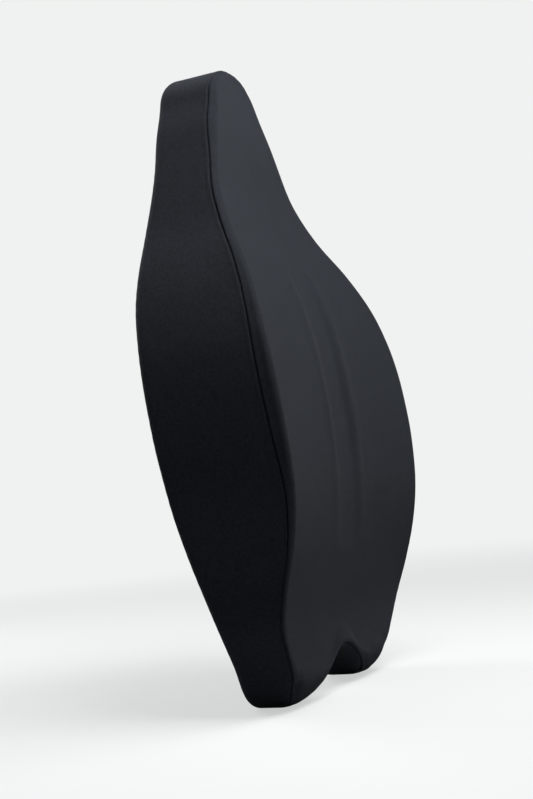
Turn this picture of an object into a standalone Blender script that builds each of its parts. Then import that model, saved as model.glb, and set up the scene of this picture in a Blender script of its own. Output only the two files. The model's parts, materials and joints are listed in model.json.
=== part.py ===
"""Full-back support cushion for a chair.

A foam body with a stiff shell inside wears a zipped fabric cover: front panel, side gusset and back panel.
Two elastic straps with side-release buckles cross the back. It stands on the two lobes under it.
X runs across the back, -Y is the front (the side leaned on), +Z is up. Lengths are in metres.
"""

import math

import bmesh
import bpy
import numpy as np
from mathutils import Vector

# Overall form
HEIGHT = 0.672
WIDTH = 0.357
THICKNESS = 0.143  # of the thickest level
NOTCH_HEIGHT = 0.046
FOOT_INNER = 0.088  # from the centre plane to where each foot's flat starts
FOOT_FLAT = 0.016  # length of that flat
CORNER_HEIGHT = 0.045  # of the rounded outer corner of each lobe
ARCH_ROLL = 0.007  # radius of the front edge round the arch between the lobes
ARCH_SEAM = 0.0062  # from the front's flat round to the seam there
ARCH_EDGE = 0.020  # from the centre plane to where both start to grow
CAP_HEIGHT = 0.032  # of the domed top
DISH = 0.015  # how far the middle of the front is hollowed
CHANNEL_DEPTH = 0.0035  # of the spine channel down the front
CHANNEL_HALF_WIDTH = 0.024
CHANNEL_WALL = 0.0028  # how gently its walls turn
LIP_HEIGHT = 0.0016  # of the soft ridge along each side of it
LIP_SHIFT = 0.011  # from the channel's wall to the ridge
LIP_WIDTH = 0.009
CENTRE_LOW = 0.030  # from the notch up to where its rows meet the centre line
CENTRE_HIGH = 0.020  # and from the top down to where the dome's rows do

# Layers
FABRIC = 0.0010
FABRIC_GAP = 0.00035
SEAM_GAP = 0.0004
SHELL_THICKNESS = 0.004
SHELL_GAP = 0.001
SHELL_MARGIN = 0.012

# Zip
ZIP_HEIGHT = HEIGHT * 0.4613
ZIP_LENGTH = 0.250
TAPE_WIDTH = 0.013
TAPE_THICKNESS = 0.0007
TAPE_GAP = 0.0002  # from the zip's middle to each tape
ZIP_ROOM = 0.0004  # round the tapes, in the back panel's opening
TOOTH_PITCH = 0.004
TOOTH_WIDTH = 0.0024
TOOTH_RISE = 0.0014
TOOTH_RAIL = 0.0015  # from the zip's middle to the rail that carries the teeth
STOP_LENGTH = 0.002
SLIDER_LENGTH = 0.011
SLIDER_HALF = 0.0052
SLIDER_ROOF = 0.0014
SLIDER_ROOM = 0.0004  # over the teeth
SLIDER_START = 0.010  # from the zip's end to the closed slider
EYE_LENGTH = 0.006
EYE_HALF = 0.0013
EYE_HEIGHT = 0.0030
PIN = 0.0012  # thickness of the pull and of the bar it turns on
PIN_ROOM = 0.0003
PULL_LENGTH = 0.024
PULL_WIDTH = 0.008
PULL_HOLE = 0.0038

# Straps
STRAPS = {"upper": HEIGHT * 0.6176, "lower": HEIGHT * 0.2976}  # height of each strap's middle
STRAP_LIFT = 0.0008
STRAP_WIDTH = 0.030
WEBBING = 0.0015
STRAP_INSET = 0.030  # from the side of the cushion to the strap's sewn end
PATCH_LENGTH = 0.030
PATCH_THICKNESS = 0.0012
PATCH_MARGIN = 0.003  # past the webbing on its sides and end
CLEARANCE = 0.0003
PLY_GAP = 0.0004  # between two layers of webbing
BUCKLE_SHIFT = -0.020  # the buckle's mouth, from the centre plane
BUCKLE_SIDE = 0.004  # the buckle and the adjuster are this much wider than the webbing on each side
BUCKLE_LIFT = 0.0006
BUCKLE_THICKNESS = 0.009
BUCKLE_WALL = 0.0016
BUCKLE_CORNER = 0.003
SOCKET_LENGTH = 0.030
SOCKET_END = 0.010  # the webbing's end of the socket, past its hollow
WINDOW_SETBACK = 0.008  # from the mouth to the side windows
BAR_HALF = 0.0015
BAR_OFFSET = 0.006
SLOT_WIDTH = 0.005
SLOT_SIDE = 0.0006  # room beside the webbing in a slot
TURN_ROOM = 0.0002
PLUG_LENGTH = 0.020
TONGUE_HALF_WIDTH = 0.003
TONGUE_HALF_HEIGHT = 0.0018
TONGUE_SHORT = 0.006  # the tongue is this much shorter than the socket
PRONG_ROOM = 0.0004
PRONG_WIDTH = 0.0032
PRONG_LENGTH = 0.0216
PRONG_HEAD = 0.0120  # length of the prong's wide end
PRONG_HOOK = 0.0033  # how far that end stands out
PRONG_HINGE = 0.0015  # from the mouth to where the prong turns
GLIDE_GAP = 0.060  # from the buckle's mouth to the adjuster's middle bar, past the plug's bar
GLIDE_HALF = 0.010
GLIDE_THICKNESS = 0.0024
GLIDE_SLOT = (0.0015, 0.0075)  # where each of its slots starts and ends, from the middle bar's middle
SPLIT = 0.010  # from the plug's bar to where the running webbing starts
LABEL_HEIGHT = HEIGHT * 0.3839
LABEL_SPAN = (0.030, 0.065)
LABEL_HALF = 0.011
LABEL_THICKNESS = 0.0006

# Shares of the height against shares of the half width, the thickness or a length.
HALF_WIDTHS = (
    (0.045, 0.740), (0.089, 0.832), (0.134, 0.922), (0.178, 0.962), (0.238, 0.977), (0.317, 0.984),
    (0.416, 1.0), (0.49, 0.988), (0.549, 0.955), (0.61, 0.883), (0.669, 0.780), (0.728, 0.653),
    (0.788, 0.555), (0.847, 0.465), (0.899, 0.387), (0.943, 0.303), (1.0, 0.251),
)
THICKNESSES = (
    (0.0, 0.463), (0.089, 0.481), (0.134, 0.525), (0.178, 0.628), (0.238, 0.794), (0.307, 0.932),
    (0.371, 0.985), (0.445, 1.0), (0.549, 0.975), (0.61, 0.933), (0.669, 0.831), (0.728, 0.684),
    (0.788, 0.563), (0.891, 0.516), (1.0, 0.475),
)
LEANS = (
    (0.0, -0.0161), (0.089, -0.0180), (0.178, -0.0219), (0.238, -0.0221), (0.307, -0.0201),
    (0.371, -0.0168), (0.49, -0.0075), (0.549, -0.0010), (0.61, 0.0080), (0.669, 0.0182),
    (0.728, 0.0301), (0.788, 0.0374), (0.847, 0.0408), (1.0, 0.0497),
)
FRONT_ROLLS = (
    (0.0, 0.034), (0.02, 0.026), (0.045, 0.014), (0.075, 0.0085), (0.12, 0.0065), (0.3, 0.0055),
    (0.6, 0.005), (0.8, 0.006), (0.92, 0.010), (1.0, 0.011),
)
SEAM_REACHES = (
    (0.0, 0.040), (0.02, 0.027), (0.045, 0.013), (0.075, 0.0078), (0.12, 0.0072), (0.25, 0.0088),
    (0.32, 0.0125), (0.40, 0.0175), (0.49, 0.0190), (0.57, 0.0165), (0.65, 0.0135), (0.76, 0.0100),
    (0.83, 0.0100), (0.9, 0.0160), (1.0, 0.0230),
)
REAR_ROLLS = ((0.0, 0.012), (0.05, 0.0125), (0.12, 0.010), (1.0, 0.012))
SHELL_SHIFTS = ((0.0, 0.008), (0.03, 0.0045), (0.1, 0.0), (1.0, 0.0))
DISHES = ((0.0, 0.1), (0.12, 0.45), (0.28, 1.0), (0.45, 0.8), (0.63, 0.5), (0.8, 0.2), (1.0, 0.05))

ARCH_STEPS = 6
CORNER_STEPS = 4
CORNER_POWER = 1.7
SIDE_STEPS = 15
CAP_STEPS = 4
FRONT_SHARES = (0.0, 0.10, 0.17, 0.22, 0.32, 0.6, 0.85, 1.0)
BAND_SHARES = (1 / 3, 2 / 3, 1.0)  # of the way from the front's flat to its seam
WALL_SHARES = (1 / 3, 2 / 3, 1.0)  # of the way from that seam to where the wall is straight
REAR_SHARES = (1.0, 0.6, 0.25, 0.0)
ROLL_STEPS = 3
SLOT = SHELL_THICKNESS / 2 + SHELL_GAP


def smooth(stations, level):
    """A smooth curve through (level, value) stations, held at its end values outside them."""
    places, values = np.array(stations).T
    slopes = np.gradient(values, places)
    level = min(max(level, places[0]), places[-1])
    index = min(int(np.searchsorted(places, level, side="right")) - 1, len(places) - 2)
    span = places[index + 1] - places[index]
    t = (level - places[index]) / span
    rise = values[index + 1] - values[index]
    bend_in = slopes[index] * span - rise
    bend_out = slopes[index + 1] * span - rise
    return float(values[index] + rise * t + t * (1 - t) * (bend_in * (1 - t) - bend_out * t))


def half_width(z):
    return smooth(HALF_WIDTHS, z / HEIGHT) * WIDTH / 2


def thickness(z):
    return smooth(THICKNESSES, z / HEIGHT) * THICKNESS


def front_edge(z):
    return smooth(LEANS, z / HEIGHT) - thickness(z) / 2


def rear_edge(z):
    return smooth(LEANS, z / HEIGHT) + thickness(z) / 2


def wall_middle(z):
    """Where the support shell crosses the side walls."""
    share = z / HEIGHT
    return smooth(LEANS, share) + smooth(SHELL_SHIFTS, share)


def past_arch(x, small, full):
    """A length that is small round the arch between the lobes and grows to its full value on the feet."""
    onto = min(max((x - ARCH_EDGE) / (FOOT_INNER - ARCH_EDGE), 0.0), 1.0)
    return small + (full - small) * onto * onto * (3 - 2 * onto)


def front_roll(x, z):
    """Radius of the front edge at an outline point."""
    return past_arch(x, ARCH_ROLL, smooth(FRONT_ROLLS, z / HEIGHT))


def seam_reach(x, z):
    """From the front's flat round its edge to the seam, along the skin."""
    return past_arch(x, ARCH_SEAM, smooth(SEAM_REACHES, z / HEIGHT))


def front_face(x, z, share):
    """The front surface; share runs from 0 on the centre line to 1 where the edge starts to roll."""
    dish = DISH * smooth(DISHES, z / HEIGHT) * (1 - share * share)
    fade = max(0.0, 1 - abs(z / HEIGHT - 0.44) / 0.22) ** 0.5
    wall = 1 / (1 + math.exp((abs(x) - CHANNEL_HALF_WIDTH) / CHANNEL_WALL))
    lip = math.exp(-(((abs(x) - CHANNEL_HALF_WIDTH - LIP_SHIFT) / LIP_WIDTH) ** 2))
    return front_edge(z) + dish + fade * (CHANNEL_DEPTH * wall - LIP_HEIGHT * lip)


def half_outline():
    """(x, z) points up the +X half of the outline, from the notch's top to the top of the dome."""
    points = []
    for step in range(ARCH_STEPS + 1):
        share = step / ARCH_STEPS
        points.append((FOOT_INNER * share, NOTCH_HEIGHT * (1 + math.cos(math.pi * share)) / 2))
    toe = FOOT_INNER + FOOT_FLAT
    points.append((toe, 0.0))
    for step in range(1, CORNER_STEPS + 1):
        share = step / CORNER_STEPS
        across = (half_width(CORNER_HEIGHT) - toe) * share
        points.append((toe + across, CORNER_HEIGHT * share**CORNER_POWER))
    cap_base = HEIGHT - CAP_HEIGHT
    for step in range(1, SIDE_STEPS + 1):
        z = CORNER_HEIGHT + (cap_base - CORNER_HEIGHT) * step / SIDE_STEPS
        points.append((half_width(z), z))
    for step in range(1, CAP_STEPS + 1):
        angle = math.pi / 2 * (1 - step / CAP_STEPS)
        z = HEIGHT - CAP_HEIGHT * (1 - math.cos(angle))
        points.append((half_width(z) * math.sin(angle), z))
    return points


def inward_normals(points):
    """Unit normals into the body, straight up or down where the outline meets the centre plane."""
    mirrored = [(-points[1][0], points[1][1])] + points + [(-points[-2][0], points[-2][1])]
    normals = []
    for before, after in zip(mirrored, mirrored[2:]):
        run = Vector((after[0] - before[0], after[1] - before[1])).normalized()
        normals.append(Vector((-run.y, run.x)))
    return normals


def centre_heights(points):
    """Where on the centre line each outline point's row ends, from over the notch to under the dome."""
    low = NOTCH_HEIGHT + CENTRE_LOW
    high = HEIGHT - CENTRE_HIGH
    steps = [0.0]
    for before, after in zip(points, points[1:]):
        length = math.dist(before, after)
        steps.append(steps[-1] + max(after[1] - before[1], 0.12 * length))
    return [low + (high - low) * step / steps[-1] for step in steps]


def side_point(outer, normal, reach):
    """A point round the side, at a distance along the skin from where the front starts to roll."""
    roll = front_roll(outer.x, outer.y)
    angle = min(reach / roll, math.pi / 2)
    down = max(reach - roll * math.pi / 2, 0)
    at = outer + normal * roll * (1 - math.sin(angle))
    return Vector((at.x, front_edge(at.y) + roll * (1 - math.cos(angle)) + down, at.y))


def side_reaches(x, z):
    """How far round the side each column of the wall lies, from the front's flat to the shell's far face."""
    roll = front_roll(x, z)
    arc = roll * math.pi / 2
    seam = seam_reach(x, z)
    near = arc + wall_middle(z) - SLOT - front_edge(z) - roll
    bend = min(arc, seam)
    band = [min(share * seam, bend) if share < 1 else seam for share in BAND_SHARES]
    straight = max(arc - seam, (near - seam) / 2)
    return band + [seam + share * straight for share in WALL_SHARES] + [near, near + 2 * SLOT]


def envelope_rows():
    """One row of points for each outline point, from the front's centre line over the edge to the back's."""
    rows = []
    outline = half_outline()
    for (x, z), normal, centre in zip(outline, inward_normals(outline), centre_heights(outline)):
        outer = Vector((x, z))
        middle = Vector((0, centre))
        lifted = past_arch(x, 0, max(0.0, 1 - z / CORNER_HEIGHT))
        normal = normal.lerp(Vector((0, 1)), lifted).normalized()
        back_roll = smooth(REAR_ROLLS, z / HEIGHT)
        inner = outer + normal * front_roll(x, z)
        row = []
        for share in FRONT_SHARES:
            at = middle.lerp(inner, share)
            row.append(Vector((at.x, front_face(at.x, at.y, share), at.y)))
        row += [side_point(outer, normal, reach) for reach in side_reaches(x, z)]
        for step in range(ROLL_STEPS):
            angle = math.pi / 2 * (1 - step / ROLL_STEPS)
            at = outer + normal * back_roll * (1 - math.sin(angle))
            row.append(Vector((at.x, rear_edge(at.y) - back_roll * (1 - math.cos(angle)), at.y)))
        for share in REAR_SHARES:
            at = middle.lerp(outer + normal * back_roll, share)
            row.append(Vector((at.x, rear_edge(at.y), at.y)))
        rows.append(row)
    return rows


FRONT_SEAM = len(FRONT_SHARES) + len(BAND_SHARES) - 1
SHELL_FRONT = FRONT_SEAM + len(WALL_SHARES) + 1
SHELL_REAR = SHELL_FRONT + 1
REAR_SEAM = SHELL_REAR + ROLL_STEPS + 1


def surface_normals(rows):
    """Outward unit normals of the +X half of the envelope, flat in X on the centre plane."""
    sums = [[Vector() for _ in row] for row in rows]
    for i in range(len(rows) - 1):
        for j in range(len(rows[0]) - 1):
            corners = ((i, j), (i, j + 1), (i + 1, j + 1), (i + 1, j))
            a, b, c, d = (rows[k][m] for k, m in corners)
            normal = (b - d).cross(c - a)
            for k, m in corners:
                sums[k][m] += normal
    for i, row in enumerate(sums):
        for j, normal in enumerate(row):
            if rows[i][j].x < 1e-7:
                normal.x = 0
            normal.normalize()
    return sums


def sunk(rows, normals, depth):
    return [[point - normal * depth for point, normal in zip(*pair)] for pair in zip(rows, normals)]


def mirrored_mesh(name, patches):
    """A closed mesh from patches of the +X half and their mirror images. Each patch is a grid of points."""
    bm = bmesh.new()
    for grid in patches:
        for side in (1, -1):
            made = [[bm.verts.new((side * p.x, p.y, p.z)) for p in row] for row in grid]
            for low, high in zip(made, made[1:]):
                for j in range(len(low) - 1):
                    face = [low[j], low[j + 1], high[j + 1], high[j]]
                    bm.faces.new(face if side > 0 else face[::-1])
    bmesh.ops.remove_doubles(bm, verts=bm.verts, dist=2e-5)
    bmesh.ops.dissolve_degenerate(bm, edges=bm.edges, dist=1e-6)
    bmesh.ops.recalc_face_normals(bm, faces=bm.faces)
    return finish_mesh(name, bm)


def finish_mesh(name, bm):
    mesh = bpy.data.meshes.new(name)
    bm.to_mesh(mesh)
    bm.free()
    mesh.shade_smooth()
    mesh.set_sharp_from_angle(angle=math.radians(35))
    return mesh


def add(name, mesh, material, parent=None):
    thing = bpy.data.objects.new(name, mesh)
    bpy.context.collection.objects.link(thing)
    if material:
        mesh.materials.append(material)
    thing.parent = parent
    return thing


def finish(name, color, roughness):
    material = bpy.data.materials.new(name)
    material.use_nodes = True
    shader = material.node_tree.nodes["Principled BSDF"]
    shader.inputs["Base Color"].default_value = (*color, 1)
    shader.inputs["Roughness"].default_value = roughness
    return material


def cover_panel(name, rows, normals, first, last, material):
    """A fabric panel over columns first to last, stopping half a seam gap short of its neighbours."""
    outer, inner = (sunk(rows, normals, depth) for depth in (0, FABRIC))
    patches = []
    rims = []
    for skin in (outer, inner):
        grid = []
        for row in skin:
            cut = [point.copy() for point in row[first:last + 1]]
            if first > 0:
                cut[0] = cut[0].lerp(cut[1], SEAM_GAP / 2 / (cut[1] - cut[0]).length)
            if last < len(row) - 1:
                cut[-1] = cut[-1].lerp(cut[-2], SEAM_GAP / 2 / (cut[-2] - cut[-1]).length)
            grid.append(cut)
        patches.append(grid)
    for column, present in ((0, first > 0), (-1, last < len(rows[0]) - 1)):
        if present:
            rims.append([[a[column], b[column]] for a, b in zip(*patches)])
    return add(name, mirrored_mesh(name, patches + rims), material)


def foam_layer(name, rows, normals, first, last, material):
    """Foam under the cover from column first to last, closed by a face along the support shell."""
    skin = [row[first:last + 1] for row in sunk(rows, normals, FABRIC + FABRIC_GAP)]
    front = first == 0
    offset = -SLOT if front else SLOT
    closing = []
    for row in skin:
        rim, centre = (row[-1], row[0]) if front else (row[0], row[-1])
        line = []
        for share in (1.0, 0.7, 0.35, 0.0):
            at = Vector((0, centre.z)).lerp(Vector((rim.x, rim.z)), share)
            line.append(rim.copy() if share == 1 else Vector((at.x, wall_middle(at.y) + offset, at.y)))
        closing.append(line)
    return add(name, mirrored_mesh(name, [skin, closing]), material)


def support_shell(rows, material):
    """The stiff board that holds the curve, inset from the outline all round."""
    faces = []
    outline = half_outline()
    for side in (-1, 1):
        grid = []
        for (x, z), normal, centre in zip(outline, inward_normals(outline), centre_heights(outline)):
            edge = Vector((x, z)) + normal * SHELL_MARGIN
            line = []
            for share in (1.0, 0.7, 0.35, 0.0):
                at = Vector((0, centre)).lerp(edge, share)
                line.append(Vector((at.x, wall_middle(at.y) + side * SHELL_THICKNESS / 2, at.y)))
            grid.append(line)
        faces.append(grid)
    rim = [[a[0], b[0]] for a, b in zip(*faces)]
    return add("support_shell", mirrored_mesh("support_shell", faces + [rim]), material)


def back_mount(name, z, lift):
    """An empty on the back face at a height, its Y axis out of the face and its Z axis up along it."""
    step = 0.01
    slope = (rear_edge(z + step) - rear_edge(z - step)) / (2 * step)
    empty = bpy.data.objects.new(name, None)
    bpy.context.collection.objects.link(empty)
    empty.rotation_euler.x = -math.atan(slope)
    empty.location = Vector((0, rear_edge(z), z)) + lift * Vector((0, 1, -slope)).normalized()
    return empty


def block_mesh(name, boxes):
    """Separate boxes in one mesh, each from its low corner to its high one."""
    bm = bmesh.new()
    for low, high in boxes:
        low, high = Vector(low), Vector(high)
        made = bmesh.ops.create_cube(bm, size=1)["verts"]
        for vert in made:
            vert.co = Vector([(a + b) / 2 + (b - a) * c for a, b, c in zip(low, high, vert.co)])
    return finish_mesh(name, bm)


def plate_mesh(name, low, high, radius):
    """A plate whose four corners, seen along Y, are rounded."""
    bm = bmesh.new()
    ring = []
    corners = ((high.x, high.z, 0), (low.x, high.z, 1), (low.x, low.z, 2), (high.x, low.z, 3))
    for x, z, turn in corners:
        quarter = math.pi / 2 * turn
        centre_x = x - radius * (1 if turn in (0, 3) else -1)
        centre_z = z - radius * (1 if turn in (0, 1) else -1)
        for step in range(4):
            angle = quarter + math.pi / 6 * step
            ring.append((centre_x + radius * math.cos(angle), centre_z + radius * math.sin(angle)))
    extrude_outline(bm, ring, low.y, high.y)
    return finish_mesh(name, bm)


def extrude_outline(bm, outline, low, high):
    """Turns a closed (x, z) outline into a solid between two heights along Y."""
    face = bm.faces.new([bm.verts.new((x, low, z)) for x, z in outline])
    extruded = bmesh.ops.extrude_face_region(bm, geom=[face])["geom"]
    for vert in (item for item in extruded if isinstance(item, bmesh.types.BMVert)):
        vert.co.y = high
    bmesh.ops.recalc_face_normals(bm, faces=bm.faces)


def ribbon_mesh(name, path, width, thick):
    """A flat band along an (x, y) path, as wide as given along Z."""
    bm = bmesh.new()
    path = [Vector(point) for point in path]
    rings = []
    for i, point in enumerate(path):
        run = path[min(i + 1, len(path) - 1)] - path[max(i - 1, 0)]
        side = Vector((-run.y, run.x)).normalized() * thick / 2
        if 0 < i < len(path) - 1:
            turn = (point - path[i - 1]).angle(path[i + 1] - point)
            side /= math.cos(turn / 2)
        corners = ((side, -1), (side, 1), (-side, 1), (-side, -1))
        rings.append([bm.verts.new((point.x + s.x, point.y + s.y, k * width / 2)) for s, k in corners])
    for a, b in zip(rings, rings[1:]):
        for k in range(4):
            bm.faces.new((a[k], a[(k + 1) % 4], b[(k + 1) % 4], b[k]))
    bm.faces.new(rings[0][::-1])
    bm.faces.new(rings[-1])
    bmesh.ops.recalc_face_normals(bm, faces=bm.faces)
    return finish_mesh(name, bm)


def comb_mesh(name, half, side):
    """A row of zip teeth on a common rail, pointing to the middle of the zip from the side given."""
    count = int(2 * half / TOOTH_PITCH)
    start = (side * 0.25 - count / 2) * TOOTH_PITCH
    outline = [(start, TOOTH_WIDTH)]
    for index in range(count):
        x = start + index * TOOTH_PITCH
        for share, z in ((0.2, TOOTH_RAIL), (0.2, SEAM_GAP / 2), (0.8, SEAM_GAP / 2), (0.8, TOOTH_RAIL)):
            outline.append((x + share * TOOTH_PITCH, z))
    outline.append((start + count * TOOTH_PITCH, TOOTH_WIDTH))
    bm = bmesh.new()
    extrude_outline(bm, [(x, side * z) for x, z in outline], CLEARANCE, CLEARANCE + TOOTH_RISE)
    return finish_mesh(name, bm)


def combine(thing, low, high, operation="DIFFERENCE"):
    """Cuts a box out of a piece, or adds one to it, by a Boolean with a hidden helper."""
    helper = add(thing.name + "_cutter", block_mesh("cutter", [(low, high)]), None, thing.parent)
    helper.location = thing.location
    helper.hide_render = True
    helper.display_type = "WIRE"
    modifier = thing.modifiers.new("Boolean", "BOOLEAN")
    modifier.operation = operation
    modifier.object = helper


def half_turn(bar_x, bar_y, reach, steps=4):
    """Points of a webbing path round a bar, from under it to over it, on the side that reach points to."""
    points = []
    for step in range(steps + 1):
        angle = -math.pi / 2 + math.pi * step / steps
        points.append((bar_x + reach * math.cos(angle), bar_y + abs(reach) * math.sin(angle)))
    return points


def zip_fastener(tape, metal, mount):
    half = ZIP_LENGTH / 2
    for name, side in (("upper", 1), ("lower", -1)):
        edges = sorted((side * TAPE_GAP, side * TAPE_WIDTH))
        low, high = (-half, -TAPE_THICKNESS, edges[0]), (half, 0, edges[1])
        add(f"zip_tape_{name}", block_mesh("tape", [(low, high)]), tape, mount)
        add(f"zip_teeth_{name}", comb_mesh("teeth", half - TOOTH_PITCH, side), metal, mount)
    for name, side in (("right", 1), ("left", -1)):
        x = side * (half - TOOTH_PITCH * 0.4)
        low = (x - STOP_LENGTH / 2, CLEARANCE, -TOOTH_WIDTH)
        high = (x + STOP_LENGTH / 2, CLEARANCE + TOOTH_RISE, TOOTH_WIDTH)
        add(f"zip_end_stop_{name}", block_mesh("stop", [(low, high)]), metal, mount)
    zip_slider(metal, mount, half - SLIDER_START)


def zip_slider(metal, mount, place):
    """The slider, a hood over the teeth with an eye on top, and the pull that turns in the eye."""
    channel = TOOTH_WIDTH + 0.0007
    roof = CLEARANCE + TOOTH_RISE + SLIDER_ROOM
    top = roof + SLIDER_ROOF
    hole = PIN / 2 + PIN_ROOM
    pin_height = top + 0.0004 + hole
    long = SLIDER_LENGTH / 2
    low, high = Vector((-long, CLEARANCE, -SLIDER_HALF)), Vector((long, top, SLIDER_HALF))
    slider = add("zip_slider", plate_mesh("slider", low, high, 0.002), metal, mount)
    slider.location.x = place
    combine(slider, (-long - 0.001, 0, -channel), (long + 0.001, roof, channel))
    eye_low = (-EYE_LENGTH / 2, top - 0.0004, -EYE_HALF)
    combine(slider, eye_low, (EYE_LENGTH / 2, top + EYE_HEIGHT, EYE_HALF), "UNION")
    hole_long = EYE_LENGTH / 4
    combine(slider, (-hole_long, pin_height - hole, -0.002), (hole_long, pin_height + hole, 0.002))
    low = Vector((-PIN / 2, -PIN / 2, -PULL_WIDTH / 2))
    pull_mesh = plate_mesh("pull", low, Vector((PULL_LENGTH, PIN / 2, PULL_WIDTH / 2)), 0.0005)
    pull = add("zip_pull", pull_mesh, metal, mount)
    pull.location = (place, pin_height, 0)
    combine(pull, (PIN / 2, -0.002, -PULL_HOLE / 2), (PIN / 2 + 0.004, 0.002, PULL_HOLE / 2))


def buckle_socket(name, plastic, mount, mouth, middle):
    """The hollow half: a flat sleeve with side windows, and a bar for the webbing at its far end."""
    half = STRAP_WIDTH / 2 + BUCKLE_SIDE
    thick = BUCKLE_THICKNESS / 2
    back = mouth - SOCKET_LENGTH
    low, high = Vector((back - SOCKET_END, middle - thick, -half)), Vector((mouth, middle + thick, half))
    socket = add(name, plate_mesh("socket", low, high, BUCKLE_CORNER), plastic, mount)
    inner = half - BUCKLE_WALL
    hollow = thick - BUCKLE_WALL
    combine(socket, (back + 0.003, middle - hollow, -inner), (mouth + 0.001, middle + hollow, inner))
    window_low = (back + SOCKET_END, middle - hollow, -half - 0.001)
    combine(socket, window_low, (mouth - WINDOW_SETBACK, middle + hollow, half + 0.001))
    webbing_slot(socket, back - BAR_OFFSET, back - BAR_OFFSET + SLOT_WIDTH, low.x - 0.001, middle)
    return inner, hollow


def webbing_slot(piece, bar_side, body_side, end, middle):
    """Opens the slot that the webbing passes through, and thins the bar beyond it."""
    open_half = STRAP_WIDTH / 2 + SLOT_SIDE
    slot = sorted((bar_side, body_side))
    bar = sorted((bar_side, end))
    tall = BUCKLE_THICKNESS
    combine(piece, (slot[0], middle - tall, -open_half), (slot[1], middle + tall, open_half))
    combine(piece, (bar[0], middle + BAR_HALF, -open_half), (bar[1], middle + tall, open_half))
    combine(piece, (bar[0], middle - tall, -open_half), (bar[1], middle - BAR_HALF, open_half))


def buckle_plug(prefix, plastic, mount, mouth, middle, inner, hollow):
    """The other half: a base with a guide tongue and two prongs that bend inwards to let go."""
    half = STRAP_WIDTH / 2 + BUCKLE_SIDE
    thick = BUCKLE_THICKNESS / 2
    base = mouth + PRONG_ROOM
    end = mouth + PLUG_LENGTH
    bar = end - BUCKLE_SIDE
    low, high = Vector((base, middle - thick, -half)), Vector((end, middle + thick, half))
    plug = add(f"{prefix}_buckle_plug", plate_mesh("plug", low, high, BUCKLE_CORNER), plastic, mount)
    tongue_low = (mouth - SOCKET_LENGTH + TONGUE_SHORT, middle - TONGUE_HALF_HEIGHT, -TONGUE_HALF_WIDTH)
    tongue_high = (base + 0.001, middle + TONGUE_HALF_HEIGHT, TONGUE_HALF_WIDTH)
    combine(plug, tongue_low, tongue_high, "UNION")
    webbing_slot(plug, bar, bar - SLOT_WIDTH, end + 0.001, middle)
    deep = hollow - PRONG_ROOM - CLEARANCE
    outer = inner - PRONG_ROOM
    root = outer - PRONG_HOOK - PRONG_WIDTH
    for name, side in (("upper", 1), ("lower", -1)):
        heel = PRONG_HINGE + 0.0001
        tip = heel - PRONG_LENGTH
        outline = ((heel, 0), (heel, PRONG_WIDTH), (tip + PRONG_HEAD + 0.001, PRONG_WIDTH))
        outline += ((tip + PRONG_HEAD, outer - root), (tip + 0.0025, outer - root))
        outline += ((tip, PRONG_WIDTH), (tip, 0))
        bm = bmesh.new()
        extrude_outline(bm, [(x, side * (z - PRONG_WIDTH / 2)) for x, z in outline], -deep, deep)
        prong = add(f"{prefix}_prong_{name}", finish_mesh("prong", bm), plastic, mount)
        prong.location = (mouth - PRONG_HINGE, middle, side * (root + PRONG_WIDTH / 2))
    return bar + 0.002


def strap(prefix, z, webbing, plastic, patch):
    """One chair strap across the back, buckled, with its adjuster."""
    mount = back_mount(f"{prefix}_strap_mount", z, STRAP_LIFT)
    reach = half_width(z) - STRAP_INSET
    mouth = BUCKLE_SHIFT
    flat = WEBBING / 2
    second = flat + WEBBING + PLY_GAP
    middle = BUCKLE_LIFT + BUCKLE_THICKNESS / 2
    turn = BAR_HALF + CLEARANCE + flat
    inner, hollow = buckle_socket(f"{prefix}_buckle_socket", plastic, mount, mouth, middle)

    bar = mouth - SOCKET_LENGTH - 0.008
    round_bar = half_turn(bar + 0.0010, middle, turn + TURN_ROOM)
    path = [(-reach, flat), (bar - 0.016, flat), (bar - 0.003, middle - turn)] + round_bar
    path += [(bar - 0.003, middle + turn), (bar - 0.016, second), (bar - 0.028, second)]
    add(f"{prefix}_webbing_left", ribbon_mesh("webbing", path, STRAP_WIDTH, WEBBING), webbing, mount)

    plug_bar = buckle_plug(prefix, plastic, mount, mouth, middle, inner, hollow)
    glide = mouth + PLUG_LENGTH + GLIDE_GAP
    split = plug_bar + SPLIT
    running = [(split + CLEARANCE, flat), (reach, flat)]
    add(f"{prefix}_webbing_right", ribbon_mesh("webbing", running, STRAP_WIDTH, WEBBING), webbing, mount)
    round_bar = half_turn(plug_bar - 0.0010, middle, -turn - TURN_ROOM)
    path = [(split, flat + 0.0001), (plug_bar + 0.003, middle - turn)] + round_bar
    path += [(plug_bar + 0.003, middle + turn), (split + 0.006, second), (glide - 0.015, second)]
    add(f"{prefix}_webbing_fold", ribbon_mesh("fold", path, STRAP_WIDTH, WEBBING), webbing, mount)
    adjuster(prefix, webbing, plastic, mount, glide, second)

    over_web = WEBBING + CLEARANCE
    half = STRAP_WIDTH / 2 + PATCH_MARGIN
    end = reach + PATCH_MARGIN
    for name, side in (("left", -1), ("right", 1)):
        span = sorted((side * end, side * (end - PATCH_LENGTH)))
        low, high = Vector((span[0], over_web, -half)), Vector((span[1], over_web + PATCH_THICKNESS, half))
        add(f"{prefix}_anchor_{name}", plate_mesh("patch", low, high, PATCH_MARGIN), patch, mount)


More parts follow.
